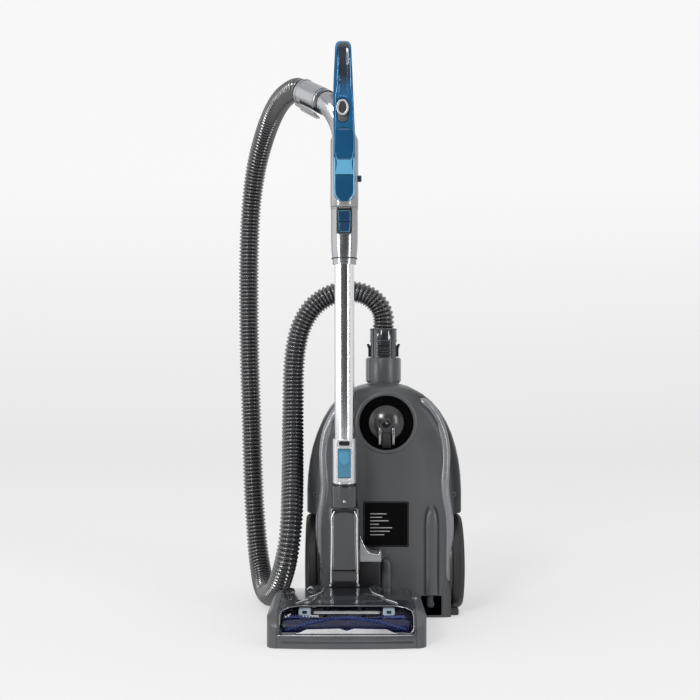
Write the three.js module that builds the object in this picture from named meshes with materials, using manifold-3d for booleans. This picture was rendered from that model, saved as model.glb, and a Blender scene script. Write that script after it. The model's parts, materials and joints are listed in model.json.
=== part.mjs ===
// Cylinder vacuum cleaner parked upright, with its telescopic wand, powered floor head and hose.
// Millimetres, +Z up. The origin is the middle of the rear end face that the canister stands on.
// -Y is the canister's underside, where the wand is docked; +Y is its top, with the lid and buttons.

import * as THREE from 'three';
import { mergeVertices } from 'three/addons/utils/BufferGeometryUtils.js';
import Module from 'manifold-3d';

const wasm = await Module();
wasm.setup();

// ---------------------------------------------------------------- driving dimensions

const GAP = 0.35; // clearance between neighbouring pieces
const SKIN = 3; // wall of the moulded shells
const FAR = 900; // larger than any piece, for half-space cuts

const CAN = {
  width: 288, waist: 244, height: 430, underside: -110, top: 112,
  seam: 20, lidStart: 206, bevel: 32,
};
const INLET = { y: -20, socketR: 34, bore: 26.4, cuffR: 26, socketTop: 477.5, cuffTop: 533.7 };
const WHEEL = { y: -35, z: 92, r: 89, inner: 125, outer: 146.5, axleR: 8 };
const CASTOR = { x: 3, z: 358, cupR: 50, domeR: 38, trail: 29, wheelR: 17, wheelY: -109 };
const DOCK = { x0: -46, x1: -8.5, z0: 54, z1: 108 };

const WAND = { x: -74, y: -170 };
const TUBE = { outerR: 17.5, innerR: 16.1, wall: 1, bottom: 262, top: 700 };
const COLLAR = { bottom: 644.7, top: 745.3, r: 24.1 };
const JOINER = { bottom: 254.5, top: 333.8, r: 21 };
const NECK = { top: 250.2, split: 212.4, shroudTop: 101, bottom: 62, halfWidth: 27.2, halfDepth: 23 };
const HANDLE = { bottom: 745.7, bodyTop: 880, bodyR: 25 };
const DUCT = { r: 21, bore: 17.5 };
const CUFF = { length: 60, r: 23.3 };

const HEAD = {
  x: -69.5, halfWidth: 133, front: -331, back: -126, split: 20, capAt: 115,
  hingeY: -158, hingeZ: 44, rearR: 35.5, rearFrom: -150,
  rollerY: -296, rollerZ: 27, rollerR: 21.5,
};
const HOSE = { diameter: 42, sides: 10 };

// ---------------------------------------------------------------- materials

const finish = (color, roughness, metalness = 0) =>
  new THREE.MeshStandardMaterial({ color, roughness, metalness });

const MAT = {
  shell: finish(0x525355, 0.5),
  darkShell: finish(0x2d2e31, 0.45),
  black: finish(0x17181a, 0.5),
  rubber: finish(0x1c1c1e, 0.85),
  silver: finish(0x86888c, 0.35, 0.3),
  brightSilver: finish(0xa9abae, 0.3, 0.4),
  chrome: finish(0xc9cbcf, 0.15, 1),
  blue: finish(0x225f97, 0.25, 0.3),
  deepBlue: finish(0x123f66, 0.3),
  lightBlue: finish(0x5f9fcb, 0.2),
  hose: finish(0x35353a, 0.4),
  steel: finish(0xb0b3b6, 0.3, 1),
  clear: finish(0x2b3550, 0.1),
  bristle: finish(0x1f2c5c, 0.7),
  white: finish(0xe6e6e2, 0.5),
  paper: finish(0xd9d4c8, 0.9),
  foam: finish(0x3b3b40, 0.95),
  label: finish(0x0f1011, 0.35),
};

// ---------------------------------------------------------------- geometry helpers

function solid(geometry) {
  const bare = geometry.clone();
  bare.deleteAttribute('normal');
  bare.deleteAttribute('uv');
  const merged = mergeVertices(bare, 1e-3);
  const index = merged.index.array;
  const kept = [];
  for (let i = 0; i < index.length; i += 3) {
    const [a, b, c] = [index[i], index[i + 1], index[i + 2]];
    if (a !== b && b !== c && c !== a) kept.push(a, b, c);
  }
  const p = merged.attributes.position.array;
  let volume = 0;
  for (let i = 0; i < kept.length; i += 3) {
    const [a, b, c] = [kept[i] * 3, kept[i + 1] * 3, kept[i + 2] * 3];
    volume += p[a] * (p[b + 1] * p[c + 2] - p[b + 2] * p[c + 1])
      - p[a + 1] * (p[b] * p[c + 2] - p[b + 2] * p[c])
      + p[a + 2] * (p[b] * p[c + 1] - p[b + 1] * p[c]);
  }
  if (volume < 0) {
    for (let i = 0; i < kept.length; i += 3) [kept[i], kept[i + 1]] = [kept[i + 1], kept[i]];
  }
  return new wasm.Manifold(new wasm.Mesh({
    numProp: 3, vertProperties: new Float32Array(p), triVerts: new Uint32Array(kept),
  }));
}

function toGeometry(manifold) {
  const mesh = manifold.getMesh();
  const geometry = new THREE.BufferGeometry();
  geometry.setAttribute('position', new THREE.BufferAttribute(mesh.vertProperties, 3));
  geometry.setIndex(new THREE.BufferAttribute(mesh.triVerts, 1));
  geometry.computeVertexNormals();
  return geometry;
}

function box(x0, x1, y0, y1, z0, z1) {
  const geometry = new THREE.BoxGeometry(x1 - x0, y1 - y0, z1 - z0);
  return solid(geometry.translate((x0 + x1) / 2, (y0 + y1) / 2, (z0 + z1) / 2));
}

const TO_AXIS = {
  x: new THREE.Matrix4().makeBasis(
    new THREE.Vector3(0, 1, 0), new THREE.Vector3(0, 0, 1), new THREE.Vector3(1, 0, 0)),
  y: new THREE.Matrix4().makeRotationX(Math.PI / 2),
  z: new THREE.Matrix4(),
};

// Extrudes a shape from one coordinate to another along an axis. The shape is drawn in (y, z) for
// the x axis, in (x, z) for the y axis and in (x, y) for the z axis.
function extrude(shape, axis, from, to, bevel = 0, segments = 3, curveSegments = 8) {
  const round = Array.isArray(bevel) ? bevel : [bevel, bevel];
  const options = { depth: to - from - 2 * round[1], curveSegments, bevelEnabled: bevel !== 0 };
  if (bevel !== 0) {
    Object.assign(options, {
      bevelSize: round[0], bevelOffset: -round[0], bevelThickness: round[1], bevelSegments: segments,
    });
  }
  const geometry = new THREE.ExtrudeGeometry(shape, options).translate(0, 0, round[1]);
  if (axis === 'y') {
    geometry.applyMatrix4(TO_AXIS.y).translate(0, to, 0);
  } else {
    geometry.translate(0, 0, from).applyMatrix4(TO_AXIS[axis]);
  }
  return solid(geometry);
}

// Turns a profile of [radius, height] points about an axis through (a, b); the height runs along it.
function lathe(profile, axis, a = 0, b = 0, segments = 24) {
  const points = profile.map(([r, h]) => new THREE.Vector2(r, h));
  const geometry = new THREE.LatheGeometry(points, segments);
  if (axis === 'x') geometry.rotateZ(-Math.PI / 2).translate(0, a, b);
  if (axis === 'y') geometry.translate(a, 0, b);
  if (axis === 'z') geometry.rotateX(Math.PI / 2).translate(a, b, 0);
  return solid(geometry);
}

const rod = (axis, a, b, r, from, to, segments = 20) =>
  lathe([[0, from], [r, from], [r, to], [0, to]], axis, a, b, segments);

const pipe = (axis, a, b, outer, inner, from, to, segments = 20) =>
  lathe([[inner, from], [outer, from], [outer, to], [inner, to], [inner, from]], axis, a, b, segments);

// Keeps the main piece of a solid that a cut has left slivers of.
const mainPiece = (shape) => shape.decompose().sort((a, b) => b.volume() - a.volume())[0];

function roundedRect(x0, x1, y0, y1, r) {
  const s = new THREE.Shape();
  s.moveTo(x0 + r, y0);
  s.lineTo(x1 - r, y0);
  s.quadraticCurveTo(x1, y0, x1, y0 + r);
  s.lineTo(x1, y1 - r);
  s.quadraticCurveTo(x1, y1, x1 - r, y1);
  s.lineTo(x0 + r, y1);
  s.quadraticCurveTo(x0, y1, x0, y1 - r);
  s.lineTo(x0, y0 + r);
  s.quadraticCurveTo(x0, y0, x0 + r, y0);
  return s;
}

function polygon(points) {
  const s = new THREE.Shape();
  points.forEach(([x, y], i) => (i ? s.lineTo(x, y) : s.moveTo(x, y)));
  return s;
}

function ring(radius, sides) {
  const s = new THREE.Shape();
  for (let i = 0; i < sides; i += 1) {
    const angle = (2 * Math.PI * i) / sides;
    const [x, y] = [radius * Math.cos(angle), radius * Math.sin(angle)];
    if (i) s.lineTo(x, y);
    else s.moveTo(x, y);
  }
  return s;
}

function sweep(points, radius, sides, steps) {
  const path = new THREE.CatmullRomCurve3(points.map((p) => new THREE.Vector3(...p)));
  return new THREE.ExtrudeGeometry(ring(radius, sides), { steps, extrudePath: path, bevelEnabled: false });
}

const group = new THREE.Group();
const wandGroup = new THREE.Group();
wandGroup.position.set(WAND.x, WAND.y, 0);
const headGroup = new THREE.Group();
headGroup.position.set(HEAD.x, 0, 0);
group.add(wandGroup, headGroup);

function add(parent, name, shape, material) {
  const geometry = shape.isBufferGeometry ? shape : toGeometry(shape);
  const mesh = new THREE.Mesh(geometry, material.clone());
  mesh.name = name;
  parent.add(mesh);
  return mesh;
}

// ---------------------------------------------------------------- canister shells

function canisterOutline(inset) {
  const w = CAN.width / 2 - inset;
  const top = CAN.height - inset;
  const s = new THREE.Shape();
  s.moveTo(-w, -60);
  s.lineTo(w, -60);
  s.lineTo(w, 232);
  s.bezierCurveTo(w - 2, 330, 105 - inset, top, 0, top);
  s.bezierCurveTo(inset - 105, top, 2 - w, 330, -w, 232);
  return s;
}

// The space beside the body that each rear wheel turns in.
function wheelSpace(inset) {
  const w = CAN.waist / 2 - inset;
  const s = new THREE.Shape();
  s.moveTo(w, -70);
  s.lineTo(w + 60, -70);
  s.lineTo(w + 60, 190 + inset);
  s.lineTo(w + 16, 190 + inset);
  s.bezierCurveTo(w + 6, 190 + inset, w, 189 + inset, w, 180 + inset);
  return extrude(s, 'y', -FAR, FAR, 0, 0, 5);
}

function canisterProfile(inset) {
  const front = CAN.underside + inset;
  const back = CAN.top - inset;
  const top = CAN.height - inset;
  const s = new THREE.Shape();
  s.moveTo(front, inset);
  s.lineTo(back - 26, inset);
  s.quadraticCurveTo(back, inset, back, 26 + inset);
  s.lineTo(back, 190);
  s.bezierCurveTo(back, 330, back - 22, top, back - 92, top);
  s.lineTo(front + 50, top);
  s.quadraticCurveTo(front, top, front, top - 46);
  return s;
}

function canisterBody(inset) {
  const bevel = [CAN.bevel - inset, CAN.bevel + 4 - inset];
  const [front, back] = [CAN.underside + inset, CAN.top - inset];
  const plan = extrude(canisterOutline(inset), 'y', front, back, bevel, 3, 11);
  const space = wheelSpace(inset);
  return plan.intersect(extrude(canisterProfile(inset), 'x', -FAR, FAR, 0, 0, 7))
    .subtract(space).subtract(space.mirror([1, 0, 0]));
}

const outerBody = canisterBody(0);
const shellSkin = outerBody.subtract(canisterBody(SKIN));
const underHalf = box(-FAR, FAR, -FAR, CAN.seam - GAP / 2, -FAR, FAR);
const topRear = box(-FAR, FAR, CAN.seam + GAP / 2, FAR, -FAR, CAN.lidStart - GAP / 2);
const topFront = box(-FAR, FAR, CAN.seam + GAP / 2, FAR, CAN.lidStart + GAP / 2, FAR);

const HINGE = { y: CAN.top + 1, z: CAN.lidStart, r: 4.5 };
const BUTTON = { x: 62, z: 146, w: 44, h: 26, y0: 102, y1: 117 };
const GRILLE = { x: 70, z0: 26, z1: 92 };
const LATCH = { x: 20, y0: 30, y1: 62 };
const BUSH = { x: 62, z: 112, r: 9 };

function bulletRib(x) {
  const s = new THREE.Shape();
  s.moveTo(x - 13, 42);
  s.lineTo(x + 13, 42);
  s.lineTo(x + 13, 175);
  s.quadraticCurveTo(x + 12, 207, x, 207);
  s.quadraticCurveTo(x - 12, 207, x - 13, 175);
  return extrude(s, 'y', CAN.underside - 5, CAN.underside + 2, [3, 2.5], 1, 4);
}

function baseShell() {
  let shell = shellSkin.intersect(underHalf);
  const front = CAN.underside;
  shell = shell.add(rod('x', REEL.y, REEL.z, REEL.bore - 0.4, REEL.x0 + 6, CAN.waist / 2 - 1, 20));
  const cup = rod('y', CASTOR.x, CASTOR.z, CASTOR.cupR + SKIN, front + 1, front + 36, 28);
  shell = shell.add(cup.intersect(outerBody));
  shell = shell.subtract(rod('y', CASTOR.x, CASTOR.z, CASTOR.cupR, front - 5, front + 33, 28));
  shell = shell.subtract(rod('y', CASTOR.x, CASTOR.z, 8.4, front, front + 50));
  shell = shell.subtract(rod('z', 0, INLET.y, INLET.socketR + GAP, 380, 460, 24));
  for (const side of [-1, 1]) {
    const axle = rod('x', WHEEL.y, WHEEL.z, WHEEL.axleR, CAN.waist / 2 - 2, WHEEL.outer - 9);
    shell = shell.add(side > 0 ? axle : axle.mirror([1, 0, 0]));
    shell = shell.add(bulletRib(side * 86));
    const x0 = side > 0 ? 66.6 : -104.4;
    shell = shell.add(box(x0 - 2, x0 + 40, front + 2, front + 22, 1, 42));
    shell = shell.subtract(box(x0, x0 + 38, front - 1, front + 20, 4, 40));
    shell = shell.add(pipe('y', x0 + 18, 24, 6.5, 3, front + 3, front + 21, 12));
  }
  return shell;
}

function topShell() {
  let shell = shellSkin.intersect(topRear);
  const hinge = rod('x', HINGE.y, HINGE.z, HINGE.r, -60, 60, 16);
  const centre = box(-29, 29, 90, 130, 190, 220);
  shell = shell.subtract(rod('x', HINGE.y, HINGE.z, HINGE.r + 0.5, -29, 29, 16));
  shell = shell.add(hinge.subtract(centre));
  for (const side of [-1, 1]) {
    shell = shell.subtract(buttonShape(side * BUTTON.x, GAP, 90, 130));
  }
  shell = shell.subtract(box(-GRILLE.x, GRILLE.x, 90, 130, GRILLE.z0, GRILLE.z1));
  return shell.subtract(rod('y', BUSH.x, BUSH.z, BUSH.r + GAP, 90, 130));
}

function buttonShape(x, grow, y0, y1, bevel = 0) {
  const [w, h] = [BUTTON.w / 2 + grow, BUTTON.h / 2 + grow];
  return extrude(roundedRect(x - w, x + w, BUTTON.z - h, BUTTON.z + h, 12), 'y', y0, y1, bevel, 2, 5);
}

function bagLid() {
  let shell = shellSkin.intersect(topFront);
  const barrels = box(-61, -29, 90, 130, 190, 220).add(box(29, 61, 90, 130, 190, 220));
  shell = shell.subtract(rod('x', HINGE.y, HINGE.z, HINGE.r + 0.5, -61, 61, 16));
  shell = shell.add(rod('x', HINGE.y, HINGE.z, HINGE.r, -28.5, 28.5, 16));
  shell = shell.add(box(-28.5, 28.5, HINGE.y - 4, HINGE.y - 1, HINGE.z + 1, HINGE.z + 8));
  return shell.subtract(barrels.intersect(rod('x', HINGE.y, HINGE.z, HINGE.r + 0.5, -61, 61, 16)))
    .subtract(box(-LATCH.x, LATCH.x, LATCH.y0, LATCH.y1, 300, 500));
}

function lidLatch() {
  const column = box(-LATCH.x + GAP, LATCH.x - GAP, LATCH.y0 + GAP, LATCH.y1 - GAP, 300, 500);
  return shellSkin.intersect(column);
}

function exhaustGrille() {
  let plate = box(-GRILLE.x + GAP, GRILLE.x - GAP, 107.5, CAN.top - 0.2, GRILLE.z0 + GAP, GRILLE.z1 - GAP);
  for (let z = GRILLE.z0 + 6; z < GRILLE.z1 - 7; z += 8) {
    plate = plate.subtract(box(-62, -3, 100, 120, z, z + 4)).subtract(box(3, 62, 100, 120, z, z + 4));
  }
  return plate;
}

function carryHandle() {
  const y0 = CAN.top + GAP;
  const arch = new THREE.Shape();
  arch.moveTo(-66, y0);
  arch.bezierCurveTo(-64, y0 + 32, -52, y0 + 40, -36, y0 + 40);
  arch.lineTo(36, y0 + 40);
  arch.bezierCurveTo(52, y0 + 40, 64, y0 + 32, 66, y0);
  arch.lineTo(46, y0);
  arch.bezierCurveTo(45, y0 + 20, 40, y0 + 25, 32, y0 + 25);
  arch.lineTo(-32, y0 + 25);
  arch.bezierCurveTo(-40, y0 + 25, -45, y0 + 20, -46, y0);
  return extrude(arch, 'z', 172, 194, 4, 2, 5);
}

function buildCanister() {
  add(group, 'base_shell', baseShell(), MAT.shell);
  add(group, 'top_shell', topShell(), MAT.shell);
  add(group, 'bag_lid', bagLid(), MAT.shell);
  add(group, 'lid_latch', lidLatch(), MAT.darkShell);
  add(group, 'carry_handle', carryHandle(), MAT.darkShell);
  add(group, 'exhaust_grille', exhaustGrille(), MAT.black);
  add(group, 'exhaust_filter', box(-66, 66, 92, 104, 29, 89), MAT.foam);
  add(group, 'power_button', buttonShape(-BUTTON.x, 0, BUTTON.y0, BUTTON.y1, 2), MAT.blue);
  add(group, 'rewind_button', buttonShape(BUTTON.x, 0, BUTTON.y0, BUTTON.y1, 2), MAT.silver);
  add(group, 'cord_bush', pipe('y', BUSH.x, BUSH.z, BUSH.r, 4.2, 104, 116), MAT.black);
  add(group, 'rating_plate',
    extrude(roundedRect(-39.5, 44, 130, 213.4, 3), 'y', CAN.underside - 1.1, CAN.underside - GAP, 0, 0, 3),
    MAT.label);
}

// ---------------------------------------------------------------- what is inside the canister

const MOTOR = { x: -52, y: 0, r: 50, z0: 56, z1: 176 };
const REEL = { y: 0, z: 92, r: 66, bore: 9, x0: 24, x1: 88 };

function impeller() {
  let wheel = rod('z', MOTOR.x, MOTOR.y, 42, 150, 153).add(rod('z', MOTOR.x, MOTOR.y, 9, 140, 168));
  for (let i = 0; i < 8; i += 1) {
    const blade = box(8, 40, -1, 1, 152.5, 165).rotate([0, 0, i * 45]);
    wheel = wheel.add(blade.translate([MOTOR.x, MOTOR.y, 0]));
  }
  return wheel;
}

function bulkhead() {
  const slab = box(-FAR, FAR, -FAR, FAR, 190, 194);
  let plate = canisterBody(SKIN + GAP).intersect(slab);
  for (let i = -2; i <= 2; i += 1) {
    plate = plate.subtract(box(MOTOR.x - 34, MOTOR.x + 34, i * 14 - 4, i * 14 + 4, 180, 200));
  }
  return plate;
}

function buildInside() {
  const { x, y, r, z0, z1 } = MOTOR;
  add(group, 'motor_housing', lathe([
    [0, z0], [36, z0], [36, z0 + 70], [r, z0 + 78], [r, z1], [20, z1], [20, z1 - 4],
    [r - 4, z1 - 4], [r - 4, z0 + 82], [11, z0 + 82], [11, z0 + 74], [0, z0 + 74],
  ], 'z', x, y, 24), MAT.black);
  add(group, 'motor_impeller', impeller(), MAT.steel);
  add(group, 'bulkhead', bulkhead(), MAT.darkShell);
  add(group, 'motor_filter', box(x - 38, x + 38, -38, 38, 194.4, 202), MAT.foam);
  const { x0, x1 } = REEL;
  add(group, 'cord_reel', lathe([
    [REEL.bore, x0], [REEL.r, x0], [REEL.r, x0 + 3], [30, x0 + 3], [30, x1 - 3], [REEL.r, x1 - 3],
    [REEL.r, x1], [REEL.bore, x1], [REEL.bore, x0],
  ], 'x', REEL.y, REEL.z, 24), MAT.black);
  const bag = extrude(roundedRect(-92, 92, -58, 66, 30), 'z', 214, 384, [18, 18], 2, 5);
  add(group, 'dust_bag', bag.subtract(box(-FAR, FAR, 50, FAR, 330, 400)), MAT.paper);
  const card = box(-48, 48, -62, 14, 385, 388).subtract(rod('z', 0, INLET.y, 24, 380, 392));
  add(group, 'bag_holder', card, MAT.deepBlue);
}

// ---------------------------------------------------------------- wheels

function buildWheels() {
  const { y, z, r, inner, outer, axleR } = WHEEL;
  const disc = lathe([
    [0, outer], [38, outer - 0.6], [44, outer - 2], [46, outer - 6], [72, outer - 6], [76, outer - 1],
    [r - 1.5, outer - 1], [r, outer - 4], [r, inner + 3], [r - 1.5, inner + 0.5], [80, inner + 0.5],
    [78, inner + 6], [30, inner + 6], [28, inner + 8], [14, inner + 8],
    [12, inner], [axleR + GAP, inner], [axleR + GAP, outer - 8], [0, outer - 8],
  ], 'x', y, z, 26);
  for (const [side, name] of [[-1, 'left'], [1, 'right']]) {
    add(group, `wheel_${name}`, side > 0 ? disc : disc.mirror([1, 0, 0]), MAT.darkShell);
  }
}

function buildCastor() {
  const { x, z, domeR, trail, wheelR, wheelY } = CASTOR;
  const centre = -86;
  const arc = [];
  for (let i = 1; i <= 6; i += 1) {
    const angle = (i / 6) * 1.22;
    arc.push([domeR * Math.sin(angle), centre - domeR * Math.cos(angle)]);
  }
  const outline = [[0, centre - domeR], ...arc, [arc[5][0], -80], [8, -80], [8, -72], [0, -72]];
  let dome = lathe(outline, 'y', 0, 0, 26);
  dome = dome.add(box(-15, 15, -116, -84, -38, -6));
  dome = dome.subtract(box(-9.6, 9.6, -140, -88, -60, -10.5));
  dome = dome.add(rod('x', wheelY, -trail, 2.5, -12, 12, 16));
  add(group, 'castor_dome', dome.translate([x, 0, z]), MAT.darkShell);
  const wheel = pipe('x', wheelY, z - trail, wheelR, 2.5 + GAP, x - 8.8, x + 8.8, 28);
  add(group, 'castor_wheel', wheel, MAT.rubber);
}

// ---------------------------------------------------------------- hose inlet and parking socket

function buildInlet() {
  const { y, socketR, bore, cuffR, socketTop, cuffTop } = INLET;
  let socket = lathe([
    [bore, 396], [socketR - 3, 396], [socketR - 3, 430], [socketR, 433], [socketR, socketTop - 3],
    [socketR - 2, socketTop], [bore, socketTop], [bore, 396],
  ], 'z', 0, y, 24);
  const notch = box(-40, 40, y - 6, y + 6, socketTop - 1, socketTop + 20);
  socket = socket.subtract(notch.intersect(rod('z', 0, y, 60, 0, 600)));
  add(group, 'hose_socket', socket, MAT.shell);

  let cuff = lathe([
    [19, 402], [cuffR, 402], [cuffR, cuffTop - 4], [cuffR - 2.5, cuffTop], [19, cuffTop], [19, 402],
  ], 'z', 0, y, 24);
  const tabSlot = box(20.6, 40, y - 9, y + 9, socketTop + 0.4, 506);
  cuff = cuff.subtract(tabSlot).subtract(tabSlot.mirror([1, 0, 0]));
  cuff = cuff.subtract(box(-18, 18, y - 40, y - 23.2, socketTop + 2, 502));
  add(group, 'inlet_cuff', cuff, MAT.shell);

  const tab = extrude(polygon([[23.4, 479], [29, 479], [29, 494], [32, 503], [28, 504], [23.4, 498]]),
    'y', y - 8.4, y + 8.4);
  add(group, 'release_tab_right', tab, MAT.black);
  add(group, 'release_tab_left', tab.mirror([1, 0, 0]), MAT.black);

  const { x0, x1, z0, z1 } = DOCK;
  const face = CAN.underside - GAP;
  let dock = extrude(roundedRect(x0, x1, z0, z1, 3), 'y', face - 11.5, face, [1.5, 1.5], 2, 3);
  dock = dock.subtract(box(x0 + 4, x1 - 3.5, face - 9.4, face - 3.6, z0 + 4, z1 + 10));
  add(group, 'park_socket', dock, MAT.darkShell);
}

// ---------------------------------------------------------------- wand

function pressPad(halfWidth, z0, z1, y0, y1) {
  return extrude(roundedRect(-halfWidth, halfWidth, z0, z1, 4), 'y', y0, y1, [1, 1.2], 1, 3);
}

function buildWand() {
  const { outerR, innerR, wall, bottom, top } = TUBE;
  add(wandGroup, 'outer_tube', pipe('z', 0, 0, outerR, outerR - wall, bottom, top, 24), MAT.chrome);

  const bore = outerR + GAP;
  let collar = lathe([
    [bore, COLLAR.bottom], [COLLAR.r - 3, COLLAR.bottom], [COLLAR.r - 2.4, 655], [COLLAR.r - 1, 668],
    [COLLAR.r, 690], [COLLAR.r, COLLAR.top], [innerR + GAP, COLLAR.top], [innerR + GAP, top + GAP],
    [bore, top + GAP], [bore, COLLAR.bottom],
  ], 'z', 0, 0, 24);
  collar = collar.add(pressPad(15, 697, COLLAR.top - 0.2, -26, -18.5));
  collar = collar.subtract(box(-12.6, 12.6, -40, -18.4, 700.5, 743.4));
  add(wandGroup, 'telescope_collar', collar, MAT.silver);
  add(wandGroup, 'telescope_button', pressPad(12.1, 701, 743, -27.4, -21.2), MAT.blue);

  let joiner = lathe([
    [15, 216], [18.6, 216], [18.6, JOINER.bottom], [JOINER.r, JOINER.bottom + 0.6], [JOINER.r, JOINER.top],
    [bore, JOINER.top], [bore, bottom - GAP], [15, bottom - GAP], [15, 216],
  ], 'z', 0, 0, 24);
  joiner = joiner.add(pressPad(15, 259, JOINER.top - 0.4, -27.6, -18.2));
  joiner = joiner.subtract(box(-12.6, 12.6, -40, -18.4, 266, 318));
  add(wandGroup, 'lower_collar', joiner, MAT.brightSilver);
  add(wandGroup, 'lower_button', pressPad(12.2, 266.6, 317.4, -29, -21.4), MAT.lightBlue);

  add(wandGroup, 'neck_socket', lathe([
    [19, NECK.split + GAP], [23.6, NECK.split + GAP], [23.6, NECK.top - 1.5], [22.4, NECK.top],
    [19, NECK.top], [19, NECK.split + GAP],
  ], 'z', 0, 0, 24), MAT.silver);

  const { halfWidth: w, halfDepth: d } = NECK;
  const arm = extrude(roundedRect(-w, w, -d, d, 9), 'z', NECK.shroudTop + GAP, NECK.split, [2, 3], 2, 4);
  add(wandGroup, 'neck_arm', arm.subtract(rod('z', 0, 0, 17.5, 0, 300, 28)), MAT.silver);

  const hingeY = HEAD.hingeY - WAND.y;
  const shroud = roundedRect(1 - w, w - 1, 1 - d, d - 1, 8);
  let knuckle = extrude(shroud, 'z', NECK.bottom, NECK.shroudTop, 0, 0, 4);
  knuckle = knuckle.add(rod('x', hingeY, HEAD.hingeZ, 22, -24, 24, 24));
  knuckle = knuckle.add(box(-24, 24, -18, 22, HEAD.hingeZ + 8, NECK.bottom + 2));
  knuckle = knuckle.subtract(rod('z', 0, 2, 15, HEAD.hingeZ, 120, 24));
  knuckle = knuckle.subtract(rod('y', 0, HEAD.hingeZ, 13, -40, 4, 24));
  for (const side of [-1, 1]) {
    const socket = rod('x', hingeY, HEAD.hingeZ, 5 + GAP, 15.6, 30, 20);
    knuckle = knuckle.subtract(side > 0 ? socket : socket.mirror([1, 0, 0]));
  }
  add(wandGroup, 'neck_knuckle', knuckle, MAT.darkShell);
}

function buildParkHook() {
  const s = new THREE.Shape();
  s.moveTo(27.6, 111.4);
  s.lineTo(66.2, 111.4);
  s.lineTo(66.2, 134);
  s.quadraticCurveTo(64, 126, 58, 125);
  s.lineTo(49, 126.4);
  s.quadraticCurveTo(36, 133, 30, 147);
  s.lineTo(27.6, 158);
  const bracket = extrude(s, 'y', 12, 50, 0, 0, 5);
  const tongue = box(34, 60, 48, 55.4, 112.6, 122).add(box(34, 60, 51.4, 55.4, 62, 114));
  add(wandGroup, 'park_hook', bracket.add(tongue), MAT.brightSilver);
}

// ---------------------------------------------------------------- handle

const DUCT_END = new THREE.Vector3(-38, 20, 941);
const CUFF_AXIS = new THREE.Vector3(-0.6, 0.66, 0.42).normalize();
const DUCT_PATH = [
  [0, 4, 838], [0, 3, 858], [-2, 2, 882], [-11, 2.5, 908], [-24.5, 8.5, 929], DUCT_END.toArray(),
];

const CUFF_FRAME = new THREE.Matrix4().compose(
  DUCT_END,
  new THREE.Quaternion().setFromUnitVectors(new THREE.Vector3(0, 0, 1), CUFF_AXIS),
  new THREE.Vector3(1, 1, 1),
);

const ductTube = (radius, sides) => solid(sweep(DUCT_PATH, radius, sides, 10));

function gripOutline(grow = 0) {
  const s = new THREE.Shape();
  s.moveTo(0, 754 - grow);
  s.bezierCurveTo(14 + grow, 754 - grow, 19.6 + grow, 760, 19.6 + grow, 778);
  s.lineTo(19.4 + grow, 858);
  s.bezierCurveTo(18.4 + grow, 900, 16 + grow, 940, 15.2 + grow, 958);
  s.bezierCurveTo(14.4 + grow, 990, 12.6 + grow, 1010, 12.4 + grow, 1026);
  s.bezierCurveTo(12.2 + grow, 1040, 4, 1042 + grow, -2.2, 1042 + grow);
  s.bezierCurveTo(-8.4, 1042 + grow, -16.4 - grow, 1040, -16.6 - grow, 1026);
  s.bezierCurveTo(-16.8 - grow, 1010, -18.6 - grow, 990, -19.4 - grow, 958);
  s.bezierCurveTo(-20 - grow, 940, -19.6 - grow, 900, -19.6 - grow, 858);
  s.lineTo(-19.6 - grow, 778);
  s.bezierCurveTo(-19.6 - grow, 760, -14 - grow, 754 - grow, 0, 754 - grow);
  return s;
}

function gripSide() {
  const s = new THREE.Shape();
  s.moveTo(-14, 750);
  s.lineTo(-14, 884);
  s.bezierCurveTo(-2, 888, 8, 900, 11, 920);
  s.bezierCurveTo(16, 960, 14, 1000, 14, 1022);
  s.bezierCurveTo(14, 1038, 4, 1043, -4, 1043);
  s.bezierCurveTo(-14, 1043, -20, 1034, -20.5, 1020);
  s.bezierCurveTo(-22, 980, -25, 930, -26.5, 884);
  s.lineTo(-26.5, 750);
  return s;
}

function gripShell() {
  const outline = extrude(gripOutline(), 'y', -30, 16, [5, 6], 3, 5);
  let grip = outline.intersect(extrude(gripSide(), 'x', -40, 40, [3, 14], 3, 6));
  grip = grip.subtract(rod('z', 0, 0, HANDLE.bodyR + GAP, 740, HANDLE.bodyTop + GAP, 28));
  grip = grip.subtract(ductTube(DUCT.r + GAP, 16));
  grip = grip.subtract(extrude(roundedRect(-11, 11, 755.5, 885, 9), 'y', -40, -25.2, 0, 0, 4));
  return grip.subtract(extrude(roundedRect(-9.4, 5, 942, 1034, 6), 'y', -40, -19.2, 0, 0, 4));
}

function handleBody() {
  let body = lathe([
    [0, HANDLE.bottom], [HANDLE.bodyR - 0.8, HANDLE.bottom], [HANDLE.bodyR, HANDLE.bottom + 2],
    [HANDLE.bodyR, HANDLE.bodyTop - 14], [HANDLE.bodyR - 6, HANDLE.bodyTop], [0, HANDLE.bodyTop],
  ], 'z', 0, 0, 24);
  body = body.add(ductTube(DUCT.r, 16));
  body = body.subtract(rod('z', 0, 0, TUBE.innerR + GAP, 700, 777, 24));
  body = body.subtract(rod('z', 0, 0, 14.6, 770, 846, 18));
  body = body.subtract(solid(sweep(extendPath(DUCT_PATH, 4), DUCT.bore, 14, 11)));
  body = body.subtract(rod('z', 0, 0, 40, -1, 30).transform(CUFF_FRAME.elements));
  return body.subtract(box(20.4, 40, -6.4, 2.4, 790.6, 804.1));
}

function extendPath(path, distance) {
  const end = DUCT_END.clone().addScaledVector(CUFF_AXIS, distance);
  return [...path, end.toArray()];
}

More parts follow.
